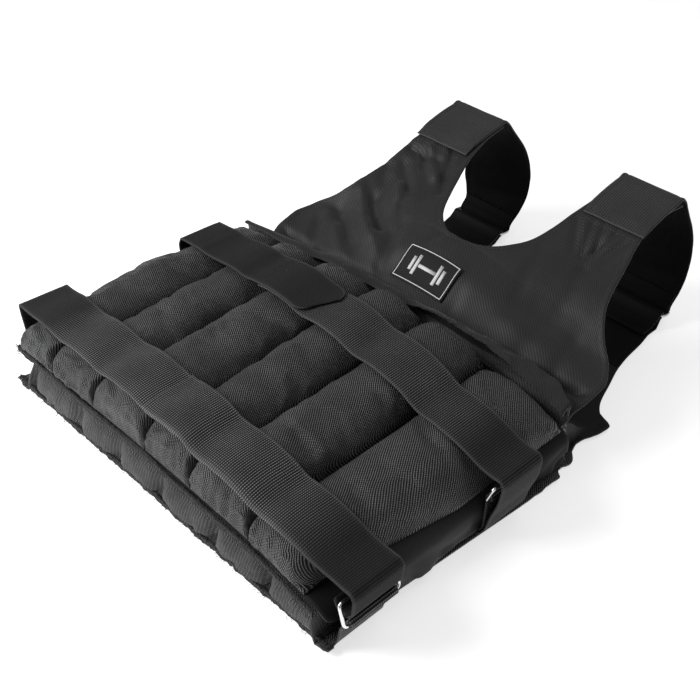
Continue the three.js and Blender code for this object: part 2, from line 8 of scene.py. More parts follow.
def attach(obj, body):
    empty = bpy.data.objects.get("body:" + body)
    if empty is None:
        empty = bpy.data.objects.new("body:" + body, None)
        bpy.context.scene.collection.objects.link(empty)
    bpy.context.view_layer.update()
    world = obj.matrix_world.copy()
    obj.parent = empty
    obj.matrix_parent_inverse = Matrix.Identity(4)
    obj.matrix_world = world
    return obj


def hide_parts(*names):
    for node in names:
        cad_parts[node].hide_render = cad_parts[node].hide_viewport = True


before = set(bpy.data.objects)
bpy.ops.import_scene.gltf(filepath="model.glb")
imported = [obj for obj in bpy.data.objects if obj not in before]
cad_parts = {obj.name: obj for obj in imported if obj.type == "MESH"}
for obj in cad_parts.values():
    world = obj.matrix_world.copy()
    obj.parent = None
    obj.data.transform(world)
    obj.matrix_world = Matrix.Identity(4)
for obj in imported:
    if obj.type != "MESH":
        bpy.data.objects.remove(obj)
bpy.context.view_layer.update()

scene = bpy.context.scene
print("frame loaded")

# All lengths below are millimetres: x across, y from the hem to the shoulders, z up.
vestOrigin = np.array([0.002, -279.718, 0.0])  # from the back hem's middle to the frame

body = {
    "halfHem": 193.0, "length": 284.0, "bibLength": 220.0, "shoulder": 148.0,
    "backLength": 528.0, "tongue": 66.0, "halfNeck": 71.0,
    "cloth": 2.2, "clearance": 0.35, "backFill": 31.0, "frontFill": 36.0,
    "gap": 0.5, "torsoGap": 3.0, "dome": 9.0, "setback": 8.0,
}
half = body["halfHem"]
backTop = body["backFill"] + body["clearance"] + body["cloth"]
frontBase = backTop + body["torsoGap"]
pocketEnd = body["length"] - body["setback"]

frontPockets = [  # seams at the hem and at the bib, shares of half the hem
    {"hem": (-1.03, -0.746), "top": (-1.125, -0.79), "fill": (0.84, 0.92)},
    {"hem": (-0.746, -0.435), "top": (-0.79, -0.48), "fill": (0.86, 0.95)},
    {"hem": (-0.435, -0.08), "top": (-0.48, -0.12), "fill": (0.93, 1.02)},
    {"hem": (-0.08, 0.212), "top": (-0.12, 0.2), "fill": (0.95, 1.05)},
    {"hem": (0.212, 0.565), "top": (0.2, 0.56), "fill": (0.97, 1.03)},
    {"hem": (0.565, 0.89), "top": (0.56, 0.985), "fill": (0.9, 0.85)},
]
backSeams = [-0.93, -0.62, -0.31, 0.0, 0.31, 0.62, 0.93]
frontRise = {"at": [0, 0.1, 0.45, 0.85, 1], "dome": [0.1, 0.7, 1, 1.9, 2.2]}
pocketEnds = {
    "at": [0, 0.012, 0.045, 0.12, 0.5, 0.84, 0.93, 1],
    "fill": [0.3, 0.72, 0.94, 1, 0.98, 1, 0.9, 0.45],
}
hemRows = {
    "at": [-1.05, -0.65, -0.4, 0.05, 0.2, 0.56, 0.95],
    "rise": [1.08, 1.02, 1.03, 1.05, 0.98, 0.98, 0.86],
    "back": [1, 1, 1, 1, 1, 0.85, 0.3],
}
bibRows = {
    "at": [0, 0.04, 0.1, 0.2, 0.29, 0.34, 0.39, 0.44, 0.52, 0.61, 0.71, 0.82, 0.92, 1],
    "mid": [0.39, 0.44, 0.49, 0.63, 0.69, 0.715, 0.735, 0.75, 0.765, 0.815, 0.88, 0.935, 0.975, 1],
    "side": [0.26, 0.33, 0.37, 0.41, 0.465, 0.53, 0.605, 0.66, 0.72, 0.79, 0.88, 0.94, 0.98, 1],
    "outer": [0.96, 0.975, 0.99, 0.995, 0.94, 0.87, 0.815, 0.78, 0.752, 0.73, 0.705, 0.69, 0.7, 0.72],
}
neckRows = {  # the neck's edge over the bib, shares of half the neck
    "at": [0.335, 0.345, 0.36, 0.39, 0.44, 0.52, 0.61, 0.71, 0.82, 0.92, 1],
    "inner": [0, 0.16, 0.29, 0.43, 0.565, 0.7, 0.81, 0.9, 0.97, 1, 1],
}
backRows = {
    "at": [0.012, 0.04, 0.08, 0.2, 0.36, 0.48, 0.505, 0.52, 0.55, 0.575,
           0.6, 0.64, 0.668, 0.69, 0.72, 0.77, 0.83, 0.87, 0.92, 0.96],
    "outer": [1.035, 1.01, 0.99, 1.005, 1.03, 1.05, 1.055, 1.015, 1.03, 0.985,
              0.97, 1.0, 1.01, 0.92, 0.87, 0.825, 0.775, 0.755, 0.74, 0.72],
}
lipRows = {
    "at": [-1.1, -0.7, -0.36, 0, 0.24, 0.45, 0.6, 0.77, 0.97],
    "depth": [0.012, 0.026, 0.03, 0.033, 0.035, 0.04, 0.05, 0.065, 0.07],
    "edge": [0.4, 0.425, 0.48, 0.49, 0.56, 0.56, 0.53, 0.46, 0.365],
    "sewn": [0.385, 0.43, 0.48, 0.49, 0.505, 0.51, 0.5, 0.46, 0.42],
}
strapRows = {
    "out": [0.03, 0.14, 0.27, 0.43, 0.6, 0.75, 0.83, 0.84, 0.78],
    "rise": [1.012, 0.985, 0.91, 0.8, 0.67, 0.54, 0.41, 0.28, 0.18],
}


def column(rows, key, at):
    return np.interp(at, rows["at"], rows[key])


def smoothColumn(rows, key, at):
    # The same table on a monotone curve, for edges that are cut round.
    px, py = np.array(rows["at"], float), np.array(rows[key], float)
    step = np.diff(px)
    slope = np.diff(py) / step
    tangent = np.zeros(len(px))
    same = slope[:-1] * slope[1:] > 0
    tangent[1:-1][same] = 2 * slope[:-1][same] * slope[1:][same] / (slope[:-1] + slope[1:])[same]
    tangent[0], tangent[-1] = slope[0], slope[-1]
    at = np.clip(at, px[0], px[-1])
    i = np.clip(np.searchsorted(px, at, side="right") - 1, 0, len(px) - 2)
    t = (at - px[i]) / step[i]
    rise = t * t * (3 - 2 * t)
    bend = step[i] * t * (1 - t) * ((1 - t) * tangent[i] - t * tangent[i + 1])
    return py[i] + (py[i + 1] - py[i]) * rise + bend


def smoothStep(x, low, high):
    t = np.clip((x - low) / (high - low), 0, 1)
    return t * t * (3 - 2 * t)


def softNoise(x, y, size, seed):
    lattice = np.random.RandomState(seed).uniform(-1, 1, (97, 97))
    gx, gy = np.asarray(x) / size + 40.3, np.asarray(y) / size + 40.7
    ix, iy = np.floor(gx).astype(int), np.floor(gy).astype(int)
    fx, fy = gx - ix, gy - iy
    fx, fy = (f * f * f * (f * (f * 6 - 15) + 10) for f in (fx, fy))
    corner = lambda i, j: lattice[(ix + i) % 97, (iy + j) % 97]
    low = corner(0, 0) * (1 - fx) + corner(1, 0) * fx
    high = corner(0, 1) * (1 - fx) + corner(1, 1) * fx
    return low * (1 - fy) + high * fy


def folds(x, y, strokes):
    # Each stroke is a dent (or, with a negative depth, a ridge) from one point to another.
    lift = np.zeros(np.broadcast(x, y).shape)
    for x0, y0, x1, y1, width, depth in strokes:
        dx, dy = x1 - x0, y1 - y0
        span = math.hypot(dx, dy)
        along = ((x - x0) * dx + (y - y0) * dy) / span
        beside = ((y - y0) * dx - (x - x0) * dy) / span
        past = np.maximum(0, np.maximum(-along, along - span))
        fade = np.exp(-((past / (width * 1.6)) ** 2))
        lift -= depth * np.exp(-((beside / width) ** 2)) * fade
    return lift


def crumple(x, y, size, seed):
    # Sharp little ridges of creased cloth, wandering as they go.
    wx = x + size * 0.8 * softNoise(x, y, size * 1.7, seed + 50)
    wy = y + size * 0.8 * softNoise(x, y, size * 1.7, seed + 51)
    return 1 - 2.4 * np.abs(softNoise(wx, wy, size, seed))


def frontUnder(x, y):
    across = 1 - np.clip(x / half, -1, 1) ** 2
    return frontBase + body["dome"] * across * column(frontRise, "dome", y / body["length"])


def frontOver(x, y):
    return frontUnder(x, y) + body["cloth"] + body["clearance"]


def hemLine(x):
    return body["setback"] * column(hemRows, "back", x / half)


def pocketEdges(pocket, v):
    t = np.minimum(1, v * 2)
    start = (pocket["hem"][0] + (pocket["top"][0] - pocket["hem"][0]) * t) * half
    end = (pocket["hem"][1] + (pocket["top"][1] - pocket["hem"][1]) * t) * half
    return start + body["gap"] / 2, end - body["gap"] / 2


def pocketTop(x, y):
    x, y = np.broadcast_arrays(np.asarray(x, float), np.asarray(y, float))
    start = hemLine(x)
    v = np.clip((y - start) / (pocketEnd - start), 0, 1)
    under = frontOver(x, y)
    top = under.copy()
    for pocket in frontPockets:
        low, high = pocketEdges(pocket, v)
        inside = (x >= low) & (x <= high) & (y <= pocketEnd + body["clearance"])
        u = np.clip(2 * (x - low) / (high - low) - 1, -1, 1)
        fill = pocket["fill"][0] + (pocket["fill"][1] - pocket["fill"][0]) * v
        full = body["frontFill"] * fill * column(pocketEnds, "fill", v)
        crown = under + full * (0.12 + 0.88 * np.sqrt(1 - np.abs(u) ** 2.6))
        top = np.where(inside, crown, top)
    return top


def bibHeight(x, at):
    outer = smoothColumn(bibRows, "outer", at) * half
    share = smoothStep(np.abs(x), 0, outer)
    sewn = 1 - smoothStep(at, 0, bibRows["at"][1])
    mid, side = smoothColumn(bibRows, "mid", at), smoothColumn(bibRows, "side", at)
    free = body["shoulder"] * (mid + (side - mid) * share)
    level = frontUnder(x, body["length"]) + body["cloth"] / 2
    return free + (level - free) * sewn


def addMesh(name, points, faces, flat=None, zone=None, material=None, second=None, split=None):
    mesh = bpy.data.meshes.new(name)
    points = (np.asarray(points, float).reshape(-1, 3) + vestOrigin) / 1000
    used, faces = np.unique(np.asarray(faces), return_inverse=True)
    faces = faces.reshape(-1, 4) if faces.ndim == 1 else faces
    points = points[used]
    mesh.from_pydata(points.tolist(), [], [[v for k, v in enumerate(f) if v not in f[:k]] for f in faces.tolist()])
    corners = np.zeros(len(mesh.loops), dtype=np.int32)
    mesh.loops.foreach_get("vertex_index", corners)
    if flat is not None:
        layer = mesh.uv_layers.new(name="cloth")
        layer.data.foreach_set("uv", (np.asarray(flat, float).reshape(-1, 2)[used] / 1000)[corners].ravel())
    if zone is not None:
        colour = mesh.color_attributes.new("zone", "FLOAT_COLOR", "POINT")
        shade = np.ones((len(used), 4))
        shade[:, :3] = np.asarray(zone, float).reshape(-1, 3)[used]
        colour.data.foreach_set("color", shade.ravel())
    mesh.polygons.foreach_set("use_smooth", np.ones(len(mesh.polygons), dtype=bool))
    if material:
        mesh.materials.append(material)
    if second:
        mesh.materials.append(second)
        mesh.polygons.foreach_set("material_index", np.asarray(split, dtype=np.int32))
    mesh.update()
    piece = bpy.data.objects.new(name, mesh)
    scene.collection.objects.link(piece)
    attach(piece, "root")
    return piece


def gridFaces(index):
    return np.stack([index[:-1, :-1], index[:-1, 1:], index[1:, 1:], index[1:, :-1]], -1).reshape(-1, 4)


def ringFaces(rings, sides, caps, count):
    # The skins of many loose bits, each a row of rings closed by its caps.
    base = np.arange(rings * sides).reshape(rings, sides)
    around = [base[:-1], base[1:], np.roll(base[1:], -1, 1), np.roll(base[:-1], -1, 1)]
    faces = np.concatenate([np.stack(around, -1).reshape(-1, 4), caps])
    return (faces[None] + rings * sides * np.arange(count)[:, None, None]).reshape(-1, 4)


def joinHalves(middle, opened):
    # A grid of two halves, which part only in the rows where the neck is open.
    rows, cols = middle.shape[:2]
    c = cols // 2
    index = np.arange(rows * cols).reshape(rows, cols)
    index[~opened, c] = index[~opened, c - 1]
    keep = np.ones((rows - 1, cols - 1), bool)
    keep[:, c - 1] = False
    return index, keep


def runLength(points):
    return np.concatenate([[0], np.cumsum(np.linalg.norm(np.diff(points, axis=0), axis=1))])


def sheetBetween(name, upper, lower, flat, zone=None, keep=None, index=None, material=None, lining=None):
    # A closed skin: an upper grid, a lower grid and walls along every free edge.
    rows, cols = upper.shape[:2]
    index = np.arange(rows * cols).reshape(rows, cols) if index is None else index
    keep = np.ones((rows - 1, cols - 1), bool) if keep is None else keep
    top = gridFaces(index)[keep.ravel()]
    count = rows * cols
    bottom = top[:, ::-1] + count
    edges = np.concatenate([top[:, [k, (k + 1) % 4]] for k in range(4)])
    edges = edges[edges[:, 0] != edges[:, 1]]
    _, first, times = np.unique(np.sort(edges, 1), axis=0, return_index=True, return_counts=True)
    free = edges[first[times == 1]]
    walls = np.stack([free[:, 1], free[:, 0], free[:, 0] + count, free[:, 1] + count], 1)
    faces = np.concatenate([top, bottom, walls])
    points = np.concatenate([upper.reshape(-1, 3), lower.reshape(-1, 3)])
    flats = np.concatenate([flat.reshape(-1, 2)] * 2)
    zones = None if zone is None else np.concatenate([zone.reshape(-1, 3)] * 2)
    split = np.concatenate([np.zeros(len(top)), np.ones(len(bottom)), np.zeros(len(walls))])
    return addMesh(name, points, faces, flats, zones, material, lining, split)


def gridNormals(middle):
    along = np.gradient(middle, axis=0)
    across = np.gradient(middle, axis=1)
    normal = np.cross(across, along)
    return normal / np.maximum(np.linalg.norm(normal, axis=2, keepdims=True), 1e-9)


def thickSheet(name, middle, wall, flat, **more):
    normal = gridNormals(middle)
    wall = np.broadcast_to(wall, middle.shape[:2])[..., None]
    return sheetBetween(name, middle + normal * wall / 2, middle - normal * wall / 2, flat, **more)


def roundEdge(distance, radius, least=0.25):
    t = np.clip(distance / radius, 0, 1)
    return least + (1 - least) * np.sqrt(1 - (1 - t) ** 2)


def clustered(low, high, count, edge):
    # Stations between two ends, closer together within edge of each end.
    ends = edge * (1 - np.cos(np.linspace(0, math.pi / 2, 5)))
    inner = np.linspace(low + edge, high - edge, count)
    return np.concatenate([low + ends[:-1], inner, (high - ends[:-1])[::-1]])


def flatLengths(middle):
    # Lengths along the cloth from its first row and column.
    across = np.linalg.norm(np.diff(middle, axis=1), axis=2)
    along = np.linalg.norm(np.diff(middle, axis=0), axis=2)
    u = np.concatenate([np.zeros((middle.shape[0], 1)), np.cumsum(across, 1)], 1)
    v = np.concatenate([np.zeros((1, middle.shape[1])), np.cumsum(along, 0)], 0)
    return np.stack([u, v], 2)


def finder(*things):
    points, faces = [], []
    for thing in things:
        base = len(points)
        points += [v.co.copy() for v in thing.data.vertices]
        faces += [[base + i for i in p.vertices] for p in thing.data.polygons]
    return BVHTree.FromPolygons(points, faces)


def dropOn(tree, x, y, fromHeight=300.0):
    start = Vector((np.array([x, y, fromHeight]) + vestOrigin) / 1000)
    spot, normal, _, _ = tree.ray_cast(start, Vector((0, 0, -1)))
    if spot is None:
        return None, None
    return np.array(spot) * 1000 - vestOrigin, np.array(normal)


class Recipe:
    def __init__(self, name):
        self.material = bpy.data.materials.new(name)
        self.material.use_nodes = True
        self.nodes = self.material.node_tree.nodes
        self.links = self.material.node_tree.links
        self.shader = self.nodes["Principled BSDF"]

    def link(self, source, target):
        if isinstance(source, (int, float)):
            target.default_value = source
        else:
            self.links.new(source, target)

    def math(self, operation, a, b=0.0, c=0.0):
        node = self.nodes.new("ShaderNodeMath")
        node.operation = operation
        for value, socket in zip((a, b, c), node.inputs):
            self.link(value, socket)
        return node.outputs[0]

    def noise(self, size, detail=2.0):
        node = self.nodes.new("ShaderNodeTexNoise")
        node.inputs["Scale"].default_value = 1000.0 / size
        node.inputs["Detail"].default_value = detail
        place = self.nodes.new("ShaderNodeTexCoord").outputs["Object"]
        self.links.new(place, node.inputs["Vector"])
        return node.outputs["Fac"]

    def cloth(self):
        node = self.nodes.new("ShaderNodeUVMap")
        node.uv_map = "cloth"
        parts = self.nodes.new("ShaderNodeSeparateXYZ")
        self.links.new(node.outputs[0], parts.inputs[0])
        return parts.outputs[0], parts.outputs[1]

    def zone(self):
        node = self.nodes.new("ShaderNodeAttribute")
        node.attribute_name = "zone"
        parts = self.nodes.new("ShaderNodeSeparateColor")
        self.links.new(node.outputs["Color"], parts.inputs[0])
        return parts.outputs

    def wave(self, along, pitch):
        turned = self.math("MULTIPLY", along, 2000 * math.pi / pitch)
        return self.math("MULTIPLY_ADD", self.math("SINE", turned), 0.5, 0.5)

    def blend(self, factor, low, high):
        node = self.nodes.new("ShaderNodeMix")
        node.data_type = "RGBA"
        node.inputs["A"].default_value = (*low, 1)
        node.inputs["B"].default_value = (*high, 1)
        self.link(factor, node.inputs["Factor"])
        return node.outputs["Result"]

    def bump(self, height, depth, strength=1.0, after=None):
        node = self.nodes.new("ShaderNodeBump")
        node.inputs["Distance"].default_value = depth / 1000
        node.inputs["Strength"].default_value = strength
        self.links.new(height, node.inputs["Height"])
        if after:
            self.links.new(after, node.inputs["Normal"])
        return node.outputs[0]

    def finish(self, colour, normal, rough, sheen=0.0, level=0.5, metal=0.0):
        if isinstance(colour, tuple):
            self.shader.inputs["Base Color"].default_value = (*colour, 1)
        else:
            self.links.new(colour, self.shader.inputs["Base Color"])
        self.link(rough, self.shader.inputs["Roughness"])
        self.shader.inputs["Metallic"].default_value = metal
        self.shader.inputs["Sheen Weight"].default_value = sheen
        self.shader.inputs["Sheen Roughness"].default_value = 0.4
        self.shader.inputs["Specular IOR Level"].default_value = level
        if normal:
            self.links.new(normal, self.shader.inputs["Normal"])
        return self.material


# Cloths: spacing and depth of the weave in mm, darkest and lightest tone, and the surface's levels. The tone
# follows the weave's height: painted shade in its gaps, painted highlights on its crests.
twill = {
    "pitch": 2.1, "cross": 2.7, "dark": 0.0014, "light": 0.42, "depth": 0.95,
    "sheen": 0.06, "lean": 0.72, "level": 0.3, "crest": 3.6, "shine": 0.62,
}
bibTwill = {
    "pitch": 3.5, "cross": 2.3, "dark": 0.006, "light": 0.029, "depth": 0.16,
    "sheen": 0.1, "lean": 1.16, "level": 0.45, "crest": 1.4, "shine": 0.66,
}
plainCloth = {"pitch": 1.7, "dark": 0.005, "light": 0.02, "depth": 0.25, "sheen": 0.06, "level": 0.25}
ribbed = {"rib": 2.05, "row": 1.9, "dark": 0.0008, "light": 0.42, "depth": 1.0, "sheen": 0.02}


def makeTwill(name, look):
    # Slanting ribs of close-woven cloth, painted lighter on the rib crests as painted highlights and darker
    # between them as painted shade.
    r = Recipe(name)
    u, v = r.cloth()
    drift = r.math("MULTIPLY", r.noise(9), 0.0009)
    slant = r.math("ADD", r.math("ADD", u, r.math("MULTIPLY", v, look["lean"])), drift)
    back = r.math("ADD", r.math("SUBTRACT", u, v), drift)
    ribs = r.wave(slant, look["pitch"])
    picks = r.wave(back, look["cross"])
    height = r.math("MULTIPLY_ADD", picks, 0.22, r.math("MULTIPLY", ribs, 0.78))
    patchy = r.math("MULTIPLY_ADD", r.noise(34, 3), 0.7, 0.2)
    grain = r.math("MULTIPLY_ADD", r.noise(2.4, 2), 0.9, 0.55)
    # tone: painted highlights on the weave's crests (sharpened by crest) and painted shade in its gaps, times
    # random patchy and grain tone
    tone = r.math("MULTIPLY", r.math("POWER", height, look["crest"]), r.math("MULTIPLY", patchy, grain))
    dark, light = look["dark"], look["light"]
    colour = r.blend(tone, (dark, dark, dark * 1.04), (light, light, light * 1.02))
    crease = r.bump(r.noise(11, 3), 0.5, 0.35)
    normal = r.bump(height, look["depth"], 0.8, crease)
    rough = r.math("MULTIPLY_ADD", height, -0.14, look["shine"])
    return r.finish(colour, normal, rough, look["sheen"], look["level"])


def makePlain(name, look, streak=0.0):
    # Fine plain weave with faint streaks along the length; its colour is darker in the gaps of the weave, as
    # painted shade.
    r = Recipe(name)
    u, v = r.cloth()
    drift = r.math("MULTIPLY", r.noise(14), 0.0006)
    warp = r.wave(r.math("ADD", u, drift), look["pitch"])
    weft = r.wave(r.math("ADD", v, drift), look["pitch"] * 0.85)
    height = r.math("MULTIPLY_ADD", r.math("MULTIPLY", warp, weft), 0.6, r.math("MULTIPLY", warp, streak))
    patchy = r.math("MULTIPLY_ADD", r.noise(40, 3), 0.7, 0.1)
    # tone: painted shade in the weave's gaps, plus random patchy tone
    tone = r.math("ADD", r.math("MULTIPLY", height, 0.6), r.math("MULTIPLY", patchy, 0.6))
    dark, light = look["dark"], look["light"]
    colour = r.blend(tone, (dark, dark, dark * 1.03), (light, light, light * 1.03))
    normal = r.bump(height, look["depth"], 0.7, r.bump(r.noise(16, 3), 0.6, 0.3))
    return r.finish(colour, normal, 0.65, look["sheen"], look["level"])


def makeWebbing(name, look):
    # Ribs across the band, with painted shade between the ribs; smooth, darker hook-and-loop where zone red is 1
    # (near the right ends partly painted shade), and a painted highlight along the edge where green is 1.
    r = Recipe(name)
    u, v = r.cloth()
    smooth, edge = r.zone()[0], r.zone()[1]
    drift = r.math("MULTIPLY", r.noise(12), 0.0005)
    ribs = r.wave(r.math("ADD", v, drift), look["rib"])
    rows = r.wave(r.math("ADD", u, drift), look["row"])
    grid = r.math("MULTIPLY", r.math("POWER", ribs, 3.0), r.math("MULTIPLY_ADD", rows, 0.85, 0.15))
    pile = r.noise(1.3, 3)
    ribbing = r.math("MULTIPLY", grid, r.math("SUBTRACT", 1.0, smooth))
    height = r.math("ADD", ribbing, r.math("MULTIPLY", pile, smooth))
    patchy = r.math("MULTIPLY_ADD", r.noise(30, 3), 0.8, 0.4)
    flatTone = r.math("MULTIPLY", smooth, r.math("MULTIPLY_ADD", pile, 0.013, 0.007))
    tone = r.math("ADD", r.math("MULTIPLY", ribbing, patchy), flatTone)
    # painted highlight along the band's edges
    tone = r.math("ADD", tone, r.math("MULTIPLY", edge, 0.1))
    dark, light = look["dark"], look["light"]
    colour = r.blend(tone, (dark, dark, dark), (light, light, light * 1.02))
    normal = r.bump(height, look["depth"], 0.8)
    rough = r.math("MULTIPLY_ADD", smooth, 0.2, 0.6)
    return r.finish(colour, normal, rough, look["sheen"], 0.25)


def makeThread(name, tone):
    r = Recipe(name)
    twist = r.noise(0.8, 2)
    colour = r.blend(twist, (tone * 0.7,) * 3, (tone * 1.3,) * 3)
    return r.finish(colour, r.bump(twist, 0.1, 0.6), 0.6, 0.2, 0.4)


def makeWire(name):
    r = Recipe(name)
    scuff = r.noise(6, 4)
    colour = r.blend(scuff, (0.66, 0.67, 0.69), (0.82, 0.82, 0.83))
    rough = r.math("MULTIPLY_ADD", r.noise(2.5, 3), 0.16, 0.1)
    return r.finish(colour, r.bump(scuff, 0.03, 0.3), rough, 0.0, 0.5, 1.0)


pocketCloth = makeTwill("pocket twill", twill)
vestCloth = makeTwill("vest cloth", bibTwill)
strapCloth = makeTwill("strap cloth", {**bibTwill, "pitch": 2.4, "lean": 0.0, "light": 0.075})
shadedYokeCloth = makePlain("yoke cloth painted shade", plainCloth, 0.25)
litSideCloth = makePlain("side cloth painted light", {**plainCloth, "dark": 0.009, "light": 0.034}, 0.25)
shadedMarginCloth, deepShadeTongueCloth, liningCloth = (
    makePlain(name, {**plainCloth, "dark": dark, "light": light, "sheen": sheen, "level": level}, streak)
    for name, dark, light, sheen, level, streak in (
        ("margin cloth painted shade", 0.002, 0.013, 0.03, 0.16, 0.25),
        ("tongue cloth painted shade", 0.002, 0.007, 0.02, 0.12, 0.2),
        ("strap lining", 0.0015, 0.003, 0.0, 0.06, 0.1),
    )
)
webbing = makeWebbing("ribbed webbing", ribbed)
darkThread = makeThread("black thread", 0.03)
paleThread = makeThread("pale thread", 0.72)
labelCloth = makePlain("label cloth", {**plainCloth, "pitch": 0.9, "dark": 0.006, "light": 0.016}, 0.3)
wire = makeWire("bright wire")
print("finishes made")

belt = {"width": 50.0, "wall": 1.6, "clear": 0.7, "stiff": 0.009, "side": half * 1.105}
belts = {  # ends and edges are shares of half the hem; a fade runs from one share to the next into the smooth, darker tone: hook-and-loop tape, and at the right ends partly painted shade where the band turns down
    "lower": {
        "middle": 0.137, "slant": -0.033, "leftEnd": 0.08, "rightEnd": -0.14, "leftOnTop": False,
        "leftEdge": 24.6, "leastSmooth": 0.0, "leftFade": (-0.76, -0.9, 0.8), "rightTapeAndShade": (0.55, 0.95, 0.92),
        "leftCut": {},
    },
    "upper": {
        "middle": 0.72, "slant": -0.075, "leftEnd": -0.1, "rightEnd": -0.45, "leftOnTop": True,
        "leftEdge": 24.15, "leastSmooth": 0.36, "leftFade": (1, 0.9, 0.92), "rightTapeAndShade": (0.6, 0.95, 0.85),
        "leftCut": {"cornerRadius": 15, "stiff": 13.0, "lean": 6.5},
    },
}


def beltLine(which, x):
    return which["middle"] * body["length"] + which["slant"] * x


def webHeight(x, y):
    highest = np.full(np.broadcast(x, y).shape, backTop * 2.0)
    for reach in np.linspace(-30, 30, 21):
        for beside in (-5, 0, 5):
            highest = np.maximum(highest, pocketTop(x + reach, y + beside) - belt["stiff"] * reach**2)
    return highest + belt["clear"] + belt["wall"] / 2


def underBelts(x, y):
    # Room for the pockets: pressed flat under a belt, free to bulge beside it.
    room = np.full(np.broadcast(x, y).shape, 1e3)
    for which in belts.values():
        beside = np.maximum(0, np.abs(y - beltLine(which, x)) - belt["width"] / 2 - 0.5)
        near = beside < 25
        level = np.full(room.shape, 1e3)
        level[near] = webHeight(x[near], y[near]) - belt["wall"] / 2 - 0.7
        room = np.minimum(room, np.where(near, level + 0.35 * beside, 1e3))
    return room


tube = {
    "start": 0.9, "press": 3.5, "slack": 0.05, "frames": 16, "cap": 3.0, "part": (0.45, 0.7, 1.0),
    "lump": 0.9, "across": 35, "seed": 11,
    "tucks": [0.03, 0.05, 0.06, 0.07, 0.06, 0.05],  # how far each end draws in at the hem
}
tubeFolds = {  # dents in a pocket: x, y to x, y, half width and depth
    1: [(-187, 24, -160, 12, 3, 1.6), (-175, 70, -150, 95, 9, 0.9)],
    2: [(-140, 12, -112, 20, 3, 2.2), (-118, 9, -96, 24, 2.5, 2.0), (-135, 110, -100, 96, 8, 1.0)],
    3: [(-78, 20, -52, 9, 3, 1.8), (-42, 9, -28, 26, 2.5, 2.2), (-70, 150, -30, 170, 8, 0.9)],
    4: [(-8, 10, 14, 22, 2.6, 2.8), (16, 8, 30, 24, 2.4, 2.4), (0, 110, 28, 128, 9, 0.9)],
    5: [(50, 22, 82, 10, 3.2, 1.6), (86, 8, 100, 26, 2.6, 2.2), (60, 85, 95, 78, 7, 1.6),
        (52, 140, 90, 160, 9, 0.9)],
    6: [(118, 10, 150, 22, 4, 1.8), (120, 82, 160, 74, 8, 1.4), (130, 165, 168, 150, 9, 1.3)],
}


def inflate(name, points, pinned):
    # Lets a pinned sheet of cloth fill out under pressure, and gives its settled points.
    rows, cols = points.shape[:2]
    mesh = bpy.data.meshes.new(name)
    faces = gridFaces(np.arange(rows * cols).reshape(rows, cols))
    mesh.from_pydata((points.reshape(-1, 3) / 1000).tolist(), [], faces.tolist())
    sheet = bpy.data.objects.new(name, mesh)
    scene.collection.objects.link(sheet)
    group = sheet.vertex_groups.new(name="seams")
    group.add(np.flatnonzero(pinned.ravel()).tolist(), 1.0, "REPLACE")
    modifier = sheet.modifiers.new("fill", "CLOTH")
    cloth = modifier.settings
    cloth.quality = 6
    cloth.mass = 0.2
    cloth.tension_stiffness = cloth.compression_stiffness = 25
    cloth.shear_stiffness = 8
    cloth.bending_stiffness = 0.25
    cloth.use_pressure = True
    cloth.uniform_pressure_force = tube["press"]
    cloth.shrink_min = -tube["slack"]
    cloth.vertex_group_mass = "seams"
    cloth.effector_weights.gravity = 0
    modifier.collision_settings.use_collision = False
    modifier.collision_settings.use_self_collision = False
    modifier.point_cache.frame_start = 1
    modifier.point_cache.frame_end = tube["frames"]
    for number in range(1, tube["frames"] + 1):
        scene.frame_set(number)
    graph = bpy.context.evaluated_depsgraph_get()
    settled = sheet.evaluated_get(graph).to_mesh()
    out = np.zeros(rows * cols * 3)
    settled.vertices.foreach_get("co", out)
    bpy.data.objects.remove(sheet, do_unlink=True)
    bpy.data.meshes.remove(mesh)
    scene.frame_set(1)
    return out.reshape(rows, cols, 3) * 1000


tubeHem = {  # from the hem up over the end's face: rows, distance from the hem and share of the fill
    "at": [0, 0.12, 0.3, 0.5, 0.68, 0.84, 1],
    "out": [0, -1.9, -3.1, -2.6, -0.4, 3.6, 10],
    "fill": [0.02, 0.17, 0.4, 0.64, 0.82, 0.94, 1.0],
}
tubeMouth = {"at": [0, 0.5, 0.86, 0.93, 0.965, 0.988, 1], "fill": [1, 0.98, 1, 0.93, 0.78, 0.5, 0.2]}


